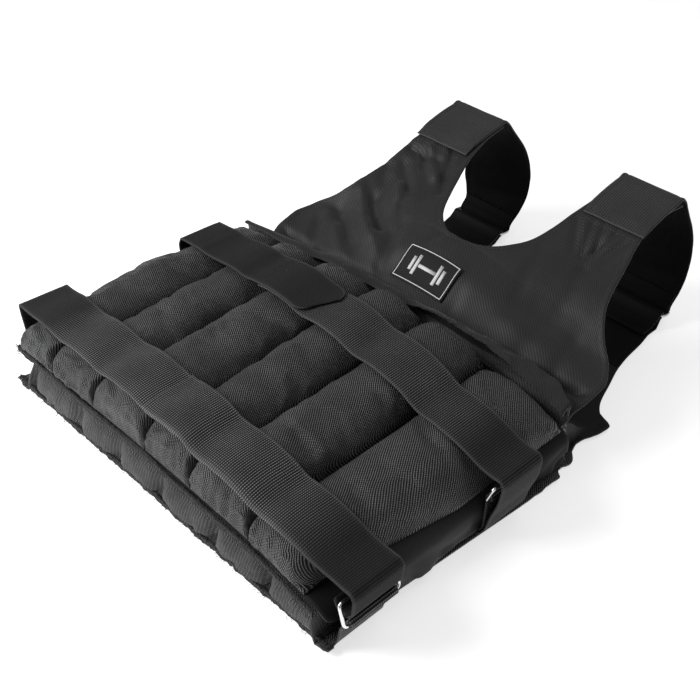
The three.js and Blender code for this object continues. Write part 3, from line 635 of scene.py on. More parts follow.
def makeTube(k, pocket):
    # Rows go up the face over the hem first, and then along the pocket to its mouth.
    face = np.linspace(0, 1, 20)[:-1]
    run = np.concatenate([np.linspace(0, 0.88, 66)[:-1], np.linspace(0.88, 1, 15)])
    onFace = np.concatenate([face, np.ones(len(run))])[:, None]
    onRun = np.concatenate([np.zeros(len(face)), run])[:, None]
    u = np.sin(np.linspace(-1, 1, tube["across"]) * math.pi / 2)[None, :] + 0 * onFace
    low, high = pocketEdges(pocket, onRun)
    x = low + (high - low) * (u + 1) / 2
    start = hemLine(x)
    out = smoothColumn(tubeHem, "out", onFace)
    facing = tubeHem["out"][-1]
    plainY = np.where(onFace < 1, start + out, start + facing + (pocketEnd - start - facing) * onRun)
    y = plainY + 0 * u
    free = (k == 1) * smoothStep(-u, 0, 0.4) + (k == 6) * smoothStep(u, 0, 0.4)  # no neighbour to press against
    reach = 0.2 + 0.25 * free
    rounded = 1 - np.sqrt(1 - np.clip((np.abs(u) - 1 + reach) / reach, 0, 0.999) ** 2)
    corner = (4.5 + 13 * free) * rounded * (1 - smoothStep(onRun, 0, 0.13))
    y = y + corner * smoothStep(onFace, 0.0, 0.35)
    v = np.clip((y - start) / (pocketEnd - start), 0, 1)
    fill = pocket["fill"][0] + (pocket["fill"][1] - pocket["fill"][0]) * v
    ends = smoothColumn(tubeHem, "fill", onFace) * smoothColumn(tubeMouth, "fill", onRun)
    squeezed = (1 - free) * (1 - smoothStep(v, 0.03, 0.17)) * smoothStep(ends, 0.1, 0.6)
    boxy = 2.6 - 0.4 * free + 18 * squeezed
    crown = 0.12 + 0.88 * np.sqrt(np.maximum(0, 1 - np.abs(u) ** boxy))
    base = frontOver(x, np.maximum(y, start)) + 0.35
    seed = tube["seed"] + 7 * k
    full = body["frontFill"] * fill * ends * crown
    calm = crown * smoothStep(ends, 0.15, 0.8)
    nearEnd = 1 - smoothStep(y - start, 4, 26)
    nearMouth = smoothStep(v, 0.86, 0.97)
    lumps = tube["lump"] * (softNoise(x, y, 42, seed) + 0.5 * softNoise(x, y, 17, seed + 1))
    creasing = 0.35 + 1.3 * nearEnd + (1.9 if k < 5 else 1.1) * nearMouth
    lumps = lumps + creasing * crumple(x, y + full, 13, seed + 2) * 0.5
    z = base + full + (lumps + folds(x, y, tubeFolds[k])) * calm
    pleat = np.sin(x / 2.1 + 2.2 * softNoise(x, y, 16, seed + 4)) * softNoise(x, x * 0, 13, seed + 5)
    creased = crumple(x, full * 1.3 + y, 11, seed + 3)
    onEnd = (1 - smoothStep(onFace, 0.75, 1)) * smoothStep(onFace, 0, 0.2) * smoothStep(crown, 0.1, 0.6)
    y = y - onEnd * (0.9 * creased + 1.1 * pleat)
    middle = (x[:, :1] + x[:, -1:]) / 2
    draw = tube["tucks"][k - 1] * (1 - smoothStep(v, 0.01, 0.09)) * smoothStep(ends, 0.45, 0.95)
    drawn = middle + (x - middle) * (1 - draw)
    calmShape = np.stack([x, plainY, base + full], 2)
    goal = np.stack([drawn, y, z], 2)
    pinned = np.zeros(x.shape, bool)
    pinned[:, [0, -1]] = True
    pinned[[0, 1, -1], :] = True
    begun = np.stack([drawn, y, base + (z - base) * tube["start"]], 2)
    settled = inflate(f"fill {k}", begun, pinned)
    move = settled - goal
    size = np.linalg.norm(move, axis=2, keepdims=True)
    goal = goal + move * np.minimum(1, tube["cap"] / np.maximum(size, 1e-6)) * tube["part"]
    goal[..., 0] = np.clip(goal[..., 0], x[:, :1] + 0.05, x[:, -1:] - 0.05)
    goal[..., 1] = np.clip(goal[..., 1], start - 5.5, pocketEnd + 0.2)
    room = underBelts(goal[..., 0], goal[..., 1])
    over = goal[..., 2] - room
    goal[..., 2] = np.where(over > -2, room - 0.5 * (np.sqrt(over**2 + 1.2) - over), goal[..., 2])
    goal[..., 2] = np.maximum(goal[..., 2], base + 0.3)
    lower = goal.copy()
    lower[..., 1] = np.maximum(goal[..., 1], start - 0.2)
    lower[..., 2] = base
    across = flatLengths(calmShape)
    across[..., 0] -= across[:, across.shape[1] // 2][:, None, 0]
    piece = sheetBetween(f"pocketTube{k}", goal, lower, across, material=pocketCloth)
    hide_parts(f"front_pocket_{k}")
    return goal


tubeSurfaces = [makeTube(k, pocket) for k, pocket in enumerate(frontPockets, 1)]
print("front pockets filled")

margin = {  # how far out and how high the hanging sides are, and where their cloth is painted paler as painted light
    "out": [1.025, 1.02, 1.01], "rise": [0.25, 0.55, 0.86], "flat": 0.985, "pale": (62, 222),
}


def makeFrontPanel():
    v = np.linspace(0, 1, 90)[:, None]
    low, middle, high = margin["rise"]
    side = np.concatenate([np.linspace(low, middle, 9)[:-1], np.linspace(middle, high, 9)])
    edge = np.interp(side, margin["rise"], margin["out"])
    inner = np.linspace(-margin["flat"], margin["flat"], 61)
    share = np.concatenate([-edge, inner, edge[::-1]])[None, :]
    rise = np.concatenate([side, np.full(61, np.nan), side[::-1]])[None, :]
    x = share * half + 0 * v
    y = hemLine(x) + (body["length"] - body["cloth"] / 2 - hemLine(x)) * v
    top = frontUnder(np.clip(x, -margin["flat"] * half, margin["flat"] * half), y) + body["cloth"] / 2
    z = np.where(np.isnan(rise), top, np.nan_to_num(rise) * frontBase)
    hang = ~np.isnan(rise)
    low = smoothStep(0.9 - np.nan_to_num(z) / frontBase, 0, 0.6) * hang
    wave = 1.9 * softNoise(y, z, 26, 5) + 1.7 * crumple(y, z, 15, 6)
    x = x + low * np.sign(x) * (wave - 1.0)
    corner = (1 - smoothStep(v, 0, 0.22)) * hang
    z = np.where(hang, z + corner * 0.62 * (0.86 * frontBase - z), z)
    y = y + low * 26 * (1 - v) ** 4 - 0.4 * hang * (v < 0.5)
    middle = np.stack([x, y, z + 0 * x], 2)
    # Round the shoulder between the top and the hanging margin.
    for _ in range(3):
        middle[:, 1:-1] = (middle[:, :-2] + 2 * middle[:, 1:-1] + middle[:, 2:]) / 4
    # The hanging margin gets a very dark copy of the cloth as painted shade, and the stretch between the pale rows
    # a paler copy as painted light.
    piece = thickSheet("frontPanel", middle, 2.0, flatLengths(middle), material=shadedMarginCloth)
    piece.data.materials.append(litSideCloth)
    low, high = ((y + vestOrigin[1]) / 1000 for y in margin["pale"])
    for polygon in piece.data.polygons:
        polygon.material_index = int(low < polygon.center.y < high)
    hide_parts("front_panel")


makeFrontPanel()
print("front panel made")

binding = {"height": 7.6, "wall": 2.2, "wave": 2.0}


def makeBinding(name, node, low, high, place, seed):
    share = np.linspace(low, high, 420)[None, :]
    ring = np.linspace(0, 2 * math.pi, 17)[:, None]
    x = share * half + 0 * ring
    up, out = np.sin(ring), np.cos(ring)
    y0, z0 = place(x)
    ragged = lambda size, step: softNoise(x, x * 0, size, seed + step)
    fuzz = softNoise(x, ring * 3, 3.2, seed) * 0.5 + softNoise(x, ring * 5, 1.5, seed + 1) * 0.5
    nicks = np.maximum(0, ragged(3.4, 4)) * 1.5 + np.maximum(0, ragged(9, 5)) * 1.4
    drift = binding["wave"] * (ragged(31, 2) + 0.5 * ragged(12, 3))
    tall = binding["height"] / 2 * (1 + 0.14 * ragged(16, 3))
    frayed = 0.5 * np.where(up < -0.2, softNoise(x, ring, 6, seed + 6), 0)
    y = y0 - out * (binding["wall"] / 2 + fuzz * 0.6) + 0.25 * drift + frayed
    z = z0 + np.abs(up) ** 0.6 * np.sign(up) * (tall + fuzz) + 0.45 * drift + np.where(up < -0.3, nicks, 0)
    z = np.maximum(z, 0.3)
    loop = np.stack([x, y, z], 2)
    rows, cols = loop.shape[:2]
    index = np.arange(rows * cols).reshape(rows, cols)
    index[-1] = index[0]
    points = loop.reshape(-1, 3)
    caps, extra = [], []
    for end in (0, -1):
        middle = len(points) + len(extra)
        extra.append(loop[:-1, end].mean(0))
        line = index[:, end]
        pairs = zip(line[:-1], line[1:]) if end == 0 else zip(line[1:], line[:-1])
        caps += [[a, b, middle, middle] for a, b in pairs]
    points = np.concatenate([points, np.array(extra)])
    faces = np.concatenate([gridFaces(index)[:, ::-1], np.array(caps)])
    flat = np.stack([x, ring * 5 + 0 * x], 2).reshape(-1, 2)
    flat = np.concatenate([flat, flat[:2]])
    piece = addMesh(name, points, faces, flat, material=hemCloth)
    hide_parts(node)


hemCloth = makePlain("hem binding", {**plainCloth, "pitch": 2.6, "dark": 0.002, "light": 0.013, "depth": 0.8}, 0.2)
hemOut = binding["wall"] / 2 + body["clearance"]
hemDepth = body["setback"] * 1.9
backHemY = 0.46 * hemDepth - body["cloth"] - hemOut


def frontHemPlace(x):
    return hemLine(x) - hemOut - body["clearance"], column(hemRows, "rise", x / half) * frontBase


def backHemPlace(x):
    return backHemY + 0.8 + 0 * x, binding["height"] / 2 + 1.25 + 0 * x


makeBinding("frontBinding", "front_hem_binding", -1.02, 0.95, frontHemPlace, 31)
makeBinding("backBinding", "back_hem_binding", -1.03, 1.01, backHemPlace, 41)
print("hems bound")


def makeBackTube(k):
    low = backSeams[k - 1] * half + body["gap"] / 2
    high = backSeams[k] * half - body["gap"] / 2
    t = np.linspace(-1, 1, 29)[None, :]
    u = np.sin(t * math.pi / 2)
    v = clustered(0, 1, 60, 0.09)[:, None]
    x = low + (high - low) * (u + 1) / 2 + 0 * v
    y = hemDepth + 0.35 + (body["length"] - hemDepth - 0.35) * v + 0 * u
    rounding = lambda s: np.sqrt(np.maximum(0, 1 - np.clip(s, 0, 1) ** 2))
    ends = rounding((np.abs(2 * v - 1) - 0.82) / 0.18)
    swell = 0.2 + 0.8 * rounding((np.abs(u) - 0.6) / 0.4) * ends
    lumps = 0.5 * (1 - swell) + 0.25 * (1 + softNoise(x, y, 12, 60 + k)) * (1 - np.abs(u) ** 6) * (1 - swell)
    bottom = body["backFill"] * np.maximum(0, 1 - swell - 0.02 * lumps)
    bottom = np.where(swell > 0.985, 0, bottom)
    upper = np.stack([x, y, np.full(x.shape, body["backFill"])], 2)
    lower = np.stack([x, y, bottom], 2)
    piece = sheetBetween(f"backTube{k}", upper, lower, flatLengths(lower), material=pocketCloth)
    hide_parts(f"back_pocket_{k}")


for k in range(1, 7):
    makeBackTube(k)
print("back pockets made")

backRest = body["cloth"] / 2 + body["clearance"]
backEdge = {
    "bulge": 8.0, "creases": [-176, -107, -51.5, 3.6, 70, 131],
    "rise": [  # up the hem's face: shares of its depth and height, and how much it bulges
        (0.45, 0.08, 0), (0.455, 0.17, 0), (0.47, 0.26, 0.4), (0.5, 0.35, 1), (0.53, 0.5, 1),
        (0.58, 0.66, 1), (0.63, 0.8, 0.7), (0.72, 0.9, 0.3), (0.86, 0.96, 0),
    ],
}
shoulderRing = {"y": 536.0, "z": 12.0, "half": 6.0, "wire": 1.4}


def arcPoints(a, z, radius, start, end, count):
    turn = np.radians(np.linspace(start, end, count))
    return [(a + radius * math.cos(t), z + radius * math.sin(t), 0) for t in turn]


def alongPath(points, count):
    # Stations along a smooth path through the points: how far along, and the two places.
    points = np.array([p[:2] for p in points], float)
    length = runLength(points)
    at = np.linspace(0, length[-1], count)
    table = {"at": length, "a": points[:, 0], "z": points[:, 1]}
    return at, smoothColumn(table, "a", at), smoothColumn(table, "z", at)


def backProfile():
    # The panel from the hem's lower edge up, over the pockets, down to the yoke and to the ring.
    rows = [(a * hemDepth, b * backTop, bulge) for a, b, bulge in backEdge["rise"]]
    for y in np.concatenate([np.linspace(17.4, 280, 60), np.linspace(284, 345, 22), np.linspace(350, 506, 46)]):
        yoke = smoothStep(y, body["length"] * 1.02, body["length"] * 1.2)
        rows.append((y, (backTop - 1.1) + (backRest - backTop + 1.1) * yoke, 0))
    for y in np.linspace(510, 521, 4):
        rows.append((y, backRest + 1.2 * smoothStep(y, 506, 520), 0))
    bar = shoulderRing["y"] - shoulderRing["half"]
    rows += arcPoints(bar, shoulderRing["z"], shoulderRing["wire"] + 1.75, -100, 165, 14)
    for y in np.linspace(521, 497, 8):  # the folded end, sewn down on the tongue
        rows.append((y, backRest + 2.6 + 4.2 * smoothStep(y, 508, 524), 0))
    return np.array(rows)


def makeBackPanel():
    profile = backProfile()
    neck, neckDepth, foldCount = 438.0, 62, 22  # the last rows fold round the ring
    share = np.concatenate([np.linspace(0, 1, 34), [1.02, 1.06, 1.1, 1.3, 1.6, 1.8, 2.0]])[None, :]
    y, z, bulge = (profile[:, k : k + 1] for k in range(3))
    tongue = np.arange(len(profile))[:, None] >= len(profile) - foldCount
    outer = np.where(tongue, body["halfNeck"] + body["tongue"],
                     smoothColumn(backRows, "outer", y / body["backLength"]) * half)
    cut = np.sqrt(1 - (1 - np.clip((y - neck) / neckDepth, 0, 1)) ** 2)
    inner = body["halfNeck"] * np.where(tongue, 1, cut)
    pocketSide = 0.935 * half
    flatTop = np.where(outer > pocketSide, pocketSide, outer * 0.95)
    x = np.where(share <= 1, inner + (flatTop - inner) * share, flatTop + (outer - flatTop) * (share - 1))
    rest = np.where(tongue, z, np.minimum(z, backRest))
    z = z + (rest - z) * smoothStep(share, 1.0, 1.3)
    opened = y[:, 0] > neck
    y = y + 0 * x

    def side(sign):
        px = sign * x
        pitch = 0.31 * half
        gap = np.min([np.abs(px - c) for c in backEdge["creases"]], 0)
        scallop = smoothStep(gap, 0, 13) ** 0.5 - 0.5 * np.exp(-((gap / 2.2) ** 2))
        low = (1 - smoothStep(z, 20, 33)) * bulge
        creased = 1.1 * crumple(px, z * 1.2, 14, 77) + 0.7 * crumple(px, z, 7, 79)
        py = y - bulge * (backEdge["bulge"] * (scallop - 0.3) + creased)
        py = py - low * 1.4 * np.sin(px / 3.1 + 3 * softNoise(px, z, 18, 80)) * softNoise(px, z * 0.4, 15, 81)
        ripple = 0.8 * softNoise(px, py, 30, 78) * smoothStep(py, 330, 360) * (py < 505)
        crown = smoothStep(py, 20, 40) * (1 - smoothStep(py, 270, 290)) * (np.abs(px) < 0.92 * half)
        dip = -0.25 * crown * (1 - np.abs(np.sin(np.pi * px / pitch)) ** 0.35)
        flap = smoothStep(np.abs(px), 0.945 * half, 1.02 * half) * (1 - smoothStep(py, 14, 40))
        torn = smoothStep(np.abs(px), 0.9 * half, 1.02 * half)
        torn = torn * smoothStep(py, 215, 240) * (1 - smoothStep(py, 380, 420))
        ragged = 2.2 + 1.8 * softNoise(px, py, 21, 82) + crumple(px, py, 11, 84)
        lifted = (5.5 + 1.5 * softNoise(px, py, 9, 83)) * flap + torn * ragged
        pz = np.maximum(z + np.abs(ripple) * 0.6 + dip + lifted, backRest * (z > 0))
        return np.stack([px, py, pz, px, y, z], 2)

    both = np.concatenate([side(-1)[:, ::-1], side(1)], 1)
    middle, smooth = both[..., :3], both[..., 3:]
    index, keep = joinHalves(middle, opened)
    c = middle.shape[1] // 2
    middle[~opened, c] = middle[~opened, c - 1]
    piece = thickSheet("backPanel", middle, 2.0, flatLengths(smooth), keep=keep, index=index,
                       material=pocketCloth)
    # The yoke and the tongues get darker copies of the cloth: painted shade behind and inside the shoulder loops.
    for cloth in (shadedYokeCloth, deepShadeTongueCloth):
        piece.data.materials.append(cloth)
    yoke, tongues = ((y + vestOrigin[1]) / 1000 for y in (300, 432))
    for polygon in piece.data.polygons:
        polygon.material_index = int(polygon.center.y > yoke) + int(polygon.center.y > tongues)
    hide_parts("back_panel")


makeBackPanel()
print("back panel made")

label = {"width": 62.0, "height": 38.0, "wall": 0.9, "at": 0.153, "aside": -3.0, "border": 1.6}
labelRows = 0.74 * label["height"] / body["bibLength"]
bib = {"wall": 2.2, "edge": 2.6, "neckAt": 0.335, "seed": 90}
bibFolds = [  # x, y to x, y, half width, depth
    (-141, 371, -84, 329, 6, -2.9), (-122, 372, -88, 345, 6, 3.0), (-150, 352, -104, 320, 7, 2.9),
    (-104, 390, -76, 352, 5.5, -2.4), (-88, 372, -62, 330, 6, 2.6), (-66, 352, -50, 306, 6, 2.0),
    (-130, 330, -92, 300, 7, -1.8), (-158, 330, -136, 300, 6, 1.8), (-72, 318, -50, 296, 5, -1.4),
    (-112, 440, -82, 416, 4.5, -2.2), (-129, 433, -96, 432, 4.5, 2.4), (-89, 449, -64, 404, 4.5, 2.3),
    (-122, 414, -96, 392, 5, 1.9), (-136, 404, -120, 380, 6, 1.6), (-116, 440, -104, 424, 3.5, 1.6),
    (-20, 356, -34, 318, 7, 1.8), (30, 334, 44, 292, 6, 1.8), (-6, 330, 10, 296, 8, -1.2),
    (96, 299, 150, 308, 6, 6.4), (150, 308, 176, 313, 5, 5.2),
    (-176, 303, -100, 295, 4.5, 3.4), (-100, 295, -34, 297, 4.5, 3.0),
    (98, 322, 163, 330, 9, -1.6), (115, 312, 118, 361, 9, 1.5),
    (60, 320, 100, 346, 9, 1.6), (146, 346, 152, 308, 7, 1.3), (66, 392, 78, 352, 7, 1.2),
    (98, 442, 105, 424, 4, 2.4), (88, 440, 98, 412, 4, 2.0), (112, 442, 103, 416, 3.5, 1.8),
    (74, 436, 90, 412, 4.5, 1.8), (124, 436, 112, 404, 5, 2.0), (104, 412, 112, 386, 6, 1.2),
]


def bibSurface(x, at):
    y = body["length"] + body["cloth"] / 2 + at * body["bibLength"]
    z = bibHeight(x, at)
    calm = smoothStep(at, 0.02, 0.1) * (1 - 0.6 * smoothStep(at, 0.7, 0.78))
    beside = np.abs(x - label["aside"]) - label["width"] / 2
    beside = np.maximum(beside, 180 * (np.abs(at - label["at"]) - labelRows / 2))
    calm = calm * (0.15 + 0.85 * smoothStep(beside, 0, 14))  # it lies flat under the label
    left = 0.2 + 0.8 * smoothStep(-x, 10, 90)
    folded = (1.3 + 0.5 * left) * folds(x, y, bibFolds) + (0.3 + 0.9 * left) * softNoise(x, y, 38, bib["seed"])
    creased = 0.7 * crumple(x + y * 0.5, y * 0.7, 26, bib["seed"] + 1) + 0.3 * crumple(x, y, 12, bib["seed"] + 2)
    return y, z + calm * (folded + left * creased)


def makeBib():
    low = np.linspace(0, bib["neckAt"], 36)
    high = bib["neckAt"] + (1 - bib["neckAt"]) * np.linspace(0, 1, 76) ** 1.25
    at = np.concatenate([low[:-1], high])[:, None]
    t = clustered(0, 1, 44, 0.05)[None, :]
    opened = at > bib["neckAt"] + 1e-9
    inner = np.where(opened, smoothColumn(neckRows, "inner", at), 0) * body["halfNeck"]
    outer = smoothColumn(bibRows, "outer", at) * half
    x = inner + (outer - inner) * t
    fromEdge = (outer - inner) * (1 - t) + 0 * x
    fromNeck = np.where(opened, (outer - inner) * t, 1e3) + 0 * x
    below = np.where(opened, 1e3, (bib["neckAt"] - at) * body["bibLength"]) + x * 1.6
    edge = np.minimum(np.minimum(fromEdge, fromNeck), np.where(opened, 1e3, below))
    halves = []
    for sign in (-1, 1):
        y, z = bibSurface(sign * x, at + 0 * x)
        halves.append(np.stack([sign * x, y, z], 2))
    middle = np.concatenate([halves[0][:, ::-1], halves[1]], 1)
    smooth = middle.copy()
    smooth[..., 2] = bibHeight(middle[..., 0], at + 0 * middle[..., 0])
    edge = np.concatenate([edge[:, ::-1], edge], 1)
    groove = np.exp(-(((edge - 5.0) / 1.3) ** 2))
    puff = 1 + 0.35 * np.exp(-(((edge - 2.2) / 1.8) ** 2)) - 0.32 * groove
    wall = bib["wall"] * puff * roundEdge(edge, bib["edge"])
    index, keep = joinHalves(middle, opened[:, 0])
    flat = np.stack([middle[..., 0], flatLengths(smooth)[..., 1]], 2)
    piece = thickSheet("bibCloth", middle, wall, flat, keep=keep, index=index, material=vestCloth)
    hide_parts("front_bib")
    return piece


bibCloth = makeBib()
print("bib made")

lip = {"wall": 1.7, "start": pocketEnd + 0.35 * 3}


def makeLip():
    at = np.linspace(-1.1, 0.97, 130)[None, :]
    u = np.linspace(0, 1, 22)[:, None]
    x = at * half + 0 * u
    depth = body["length"] * smoothColumn(lipRows, "depth", at) + body["setback"] / 2
    depth = depth * (1 - 0.5 * smoothStep(at, 0.84, 0.97))
    y = lip["start"] + u * depth
    edge, sewn = smoothColumn(lipRows, "edge", at), smoothColumn(lipRows, "sewn", at)
    top = body["shoulder"] * (edge + (sewn - edge) * u) + 1.4 * np.sin(np.pi * u)
    share = (y - body["length"]) / body["bibLength"]
    base = np.where(share > 0, bibHeight(x, np.maximum(share, 0)), frontUnder(x, y)) + body["cloth"] + 1.4
    top = np.maximum(top, base + 2.2)
    creased = 0.9 * crumple(x, y, 17, 121) + 0.5 * crumple(x, y, 8, 124)
    top = top + 1.1 * softNoise(x, y, 22, 120) + creased * smoothStep(depth, 10, 16)
    y = y + 0.8 * softNoise(x, x * 0, 26, 122) * (1 - u) * smoothStep(depth, 9, 14)
    y = np.maximum(y, lip["start"])
    thin = lip["wall"] + (np.maximum(top - base, lip["wall"]) - lip["wall"]) * smoothStep(u, 0.55, 1)
    wall = np.where(u < 0.99, thin * roundEdge(u * depth, 1.6), thin * 0.4)
    upper = np.stack([x, y, top - (1 - roundEdge(u * depth, 1.6)) * lip["wall"] / 2], 2)
    lower = np.stack([x, y, np.maximum(top - wall, base)], 2)
    piece = sheetBetween("bibLip", upper, lower, np.stack([x, y], 2), material=vestCloth)
    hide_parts("front_lip")


makeLip()
print("lip made")

strap = {"wall": 3.0, "bead": 1.7, "seam": 0.74, "twist": (0.39, 0.1)}


def strapPath():
    crest = body["length"] + body["bibLength"]
    lift = (body["cloth"] + strap["wall"]) / 2 + 0.35 * 2.5
    middle = body["halfNeck"] + body["tongue"] / 2
    points = []
    for at in np.linspace(strap["seam"], 0.985, 9):
        points.append((body["length"] + at * body["bibLength"], float(bibHeight(middle, at)) + lift))
    for out, rise in zip(strapRows["out"], strapRows["rise"]):
        points.append((crest + out * body["tongue"], rise * body["shoulder"] + lift))
    bar = shoulderRing["y"] + shoulderRing["half"]
    radius = shoulderRing["wire"] + 0.35 + strap["wall"] / 2 + 0.3
    points += arcPoints(bar, shoulderRing["z"], radius, 30, -195, 12)
    points += [(540.3, 17.5), (545.6, 23.5), (549.0, 30)]  # the end, sewn back up on the strap
    return alongPath(points, 130)


def makeStrap(name, sign):
    at, py, pz = strapPath()
    middleX = sign * (body["halfNeck"] + body["tongue"] / 2)
    w = clustered(-body["tongue"] / 2, body["tongue"] / 2, 24, 5.0)[None, :]
    crestAt = at[np.argmax(pz)]
    twist = smoothStep(at, crestAt + 5, crestAt + 70) * (1 - smoothStep(at, at[-1] - 80, at[-1] - 30))
    twist = twist[:, None] * strap["twist"][int(sign > 0)]  # the loop turns a little as it falls
    x = middleX + w * (1 + 0.22 * twist) - 9 * twist
    y = py[:, None] + w * twist
    z = pz[:, None] + 0 * w
    soft = smoothStep(at, 60, 90)[:, None] * (1 - smoothStep(at, at[-1] - 90, at[-1] - 70))[:, None]
    y = y + soft * 1.2 * softNoise(at[:, None] + 0 * w, x, 34, 140 + sign)
    middle = np.stack([x, y, z], 2)
    edge = body["tongue"] / 2 - np.abs(w) + 0 * z
    ends = np.minimum(at, at[-1] - at)[:, None] + 0 * z
    bead = np.exp(-(((edge - 1.8) / 1.6) ** 2))
    seam = np.exp(-(((edge - 4.6) / 1.1) ** 2))
    rim = np.minimum(roundEdge(edge, strap["bead"]), roundEdge(ends, 1.5))
    quilt = 0.1 * softNoise(at[:, None] + 0 * w, w + 0 * z, 14, 150 + sign)
    wall = strap["wall"] * (0.95 + 0.16 * bead - 0.28 * seam + quilt) * rim
    thin = 1 - smoothStep(at, 1, 16)[:, None] + 0 * w
    wall = wall * (1 - 0.62 * thin)
    middle[..., 2] -= thin * (0.72 + strap["wall"] * 0.26)
    middle[..., 2] += thin * 0.5 * softNoise(w + 0 * z, at[:, None] + 0 * w, 13, 160)
    flat = np.stack([w + 0 * z, at[:, None] + 0 * w], 2)
    piece = thickSheet(name, middle, wall, flat, material=strapCloth, lining=liningCloth)
    crestY = (body["length"] + body["bibLength"] + vestOrigin[1]) / 1000
    for polygon in piece.data.polygons:  # the end that comes back up shows the lining's side
        if polygon.center.y > crestY and polygon.center.z < 0.075 and polygon.normal.y < 0.05:
            polygon.material_index = 1
    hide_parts("shoulder_strap_left" if sign < 0 else "shoulder_strap_right")
    return piece


straps = [makeStrap("strapLeft", -1), makeStrap("strapRight", 1)]
print("straps made")

ring = {"radius": 1.4, "bend": 4.0, "sides": 14}


def makeRing(name, node, corners):
    corners = [np.array(c, float) for c in corners]
    line = []
    for i, corner in enumerate(corners):
        before = corners[i - 1] - corner
        after = corners[(i + 1) % 4] - corner
        a = corner + before / np.linalg.norm(before) * ring["bend"]
        b = corner + after / np.linalg.norm(after) * ring["bend"]
        for t in np.linspace(0, 1, 9):
            line.append((1 - t) ** 2 * a + 2 * t * (1 - t) * corner + t**2 * b)
    line = np.array(line)
    ahead = np.roll(line, -1, 0) - np.roll(line, 1, 0)
    ahead /= np.linalg.norm(ahead, axis=1, keepdims=True)
    flatNormal = np.cross(corners[1] - corners[0], corners[3] - corners[0])
    flatNormal /= np.linalg.norm(flatNormal)
    out = np.cross(ahead, flatNormal)
    turn = np.linspace(0, 2 * math.pi, ring["sides"], endpoint=False)
    rim = out[:, None] * np.cos(turn)[None, :, None] + flatNormal * np.sin(turn)[None, :, None]
    points = line[:, None] + rim * ring["radius"]
    count, sides = points.shape[:2]
    index = np.arange(count * sides).reshape(count, sides)
    right, down = np.roll(index, -1, 1), np.roll(index, -1, 0)
    faces = np.stack([index, right, np.roll(down, -1, 1), down], -1).reshape(-1, 4)
    piece = addMesh(name, points, faces[:, ::-1], material=wire)
    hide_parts(node)


beltRings = {
    "lower": [(1.05, 1.66), (1.085, 1.12)],
    "upper": [(1.072, 1.84), (1.045, 1.36)],
}
for key, bars in beltRings.items():
    reach = belt["width"] / 2 + ring["radius"] + 0.7
    corners = []
    for (out, rise), way in zip((bars[0], bars[0], bars[1], bars[1]), (-1, 1, 1, -1)):
        corners.append((out * half, beltLine(belts[key], out * half) + way * reach, rise * backTop))
    makeRing(f"{key}Ring", f"{key}_belt_ring", corners)
for name, sign in (("Left", -1), ("Right", 1)):
    middle = sign * (body["halfNeck"] + body["tongue"] / 2)
    reach = body["tongue"] / 2 + ring["radius"] + 0.7
    near, far = (shoulderRing["y"] + s * shoulderRing["half"] for s in (-1, 1))
    z = shoulderRing["z"]
    corners = [(middle - reach, near, z), (middle + reach, near, z),
               (middle + reach, far, z), (middle - reach, far, z)]
    makeRing(f"shoulderRing{name}", f"shoulder_ring_{name.lower()}", corners)
print("rings bent")

webLift = belt["wall"] + 0.35 * 1.5
marginTop = backRest + body["cloth"] / 2 + 0.35 + belt["wall"] / 2
beltGrids = {}
sideDrops = {  # down the sides to the floor: shares of half the hem and of the back's height
    "left": [(1.0, 0.2), (1.038, 0.5), (1.066, 0.95), (1.092, 1.4), (1.112, 1.85)],
    "upper": [(1.098, 1.45), (1.07, 0.85), (1.058, 0.5), (1.04, 0.26)],
}


def tautWeb(x, y, stiff):
    # The band bridges the hollows between the pockets instead of creasing into them.
    shifts = np.linspace(-2, 2, 9)
    weights = np.exp(-(shifts**2) / 2)
    level = sum(w * webHeight(x + d * stiff, y) for d, w in zip(shifts, weights)) / weights.sum()
    return np.maximum(level, pocketTop(x, y) + belt["clear"] + belt["wall"] / 2)


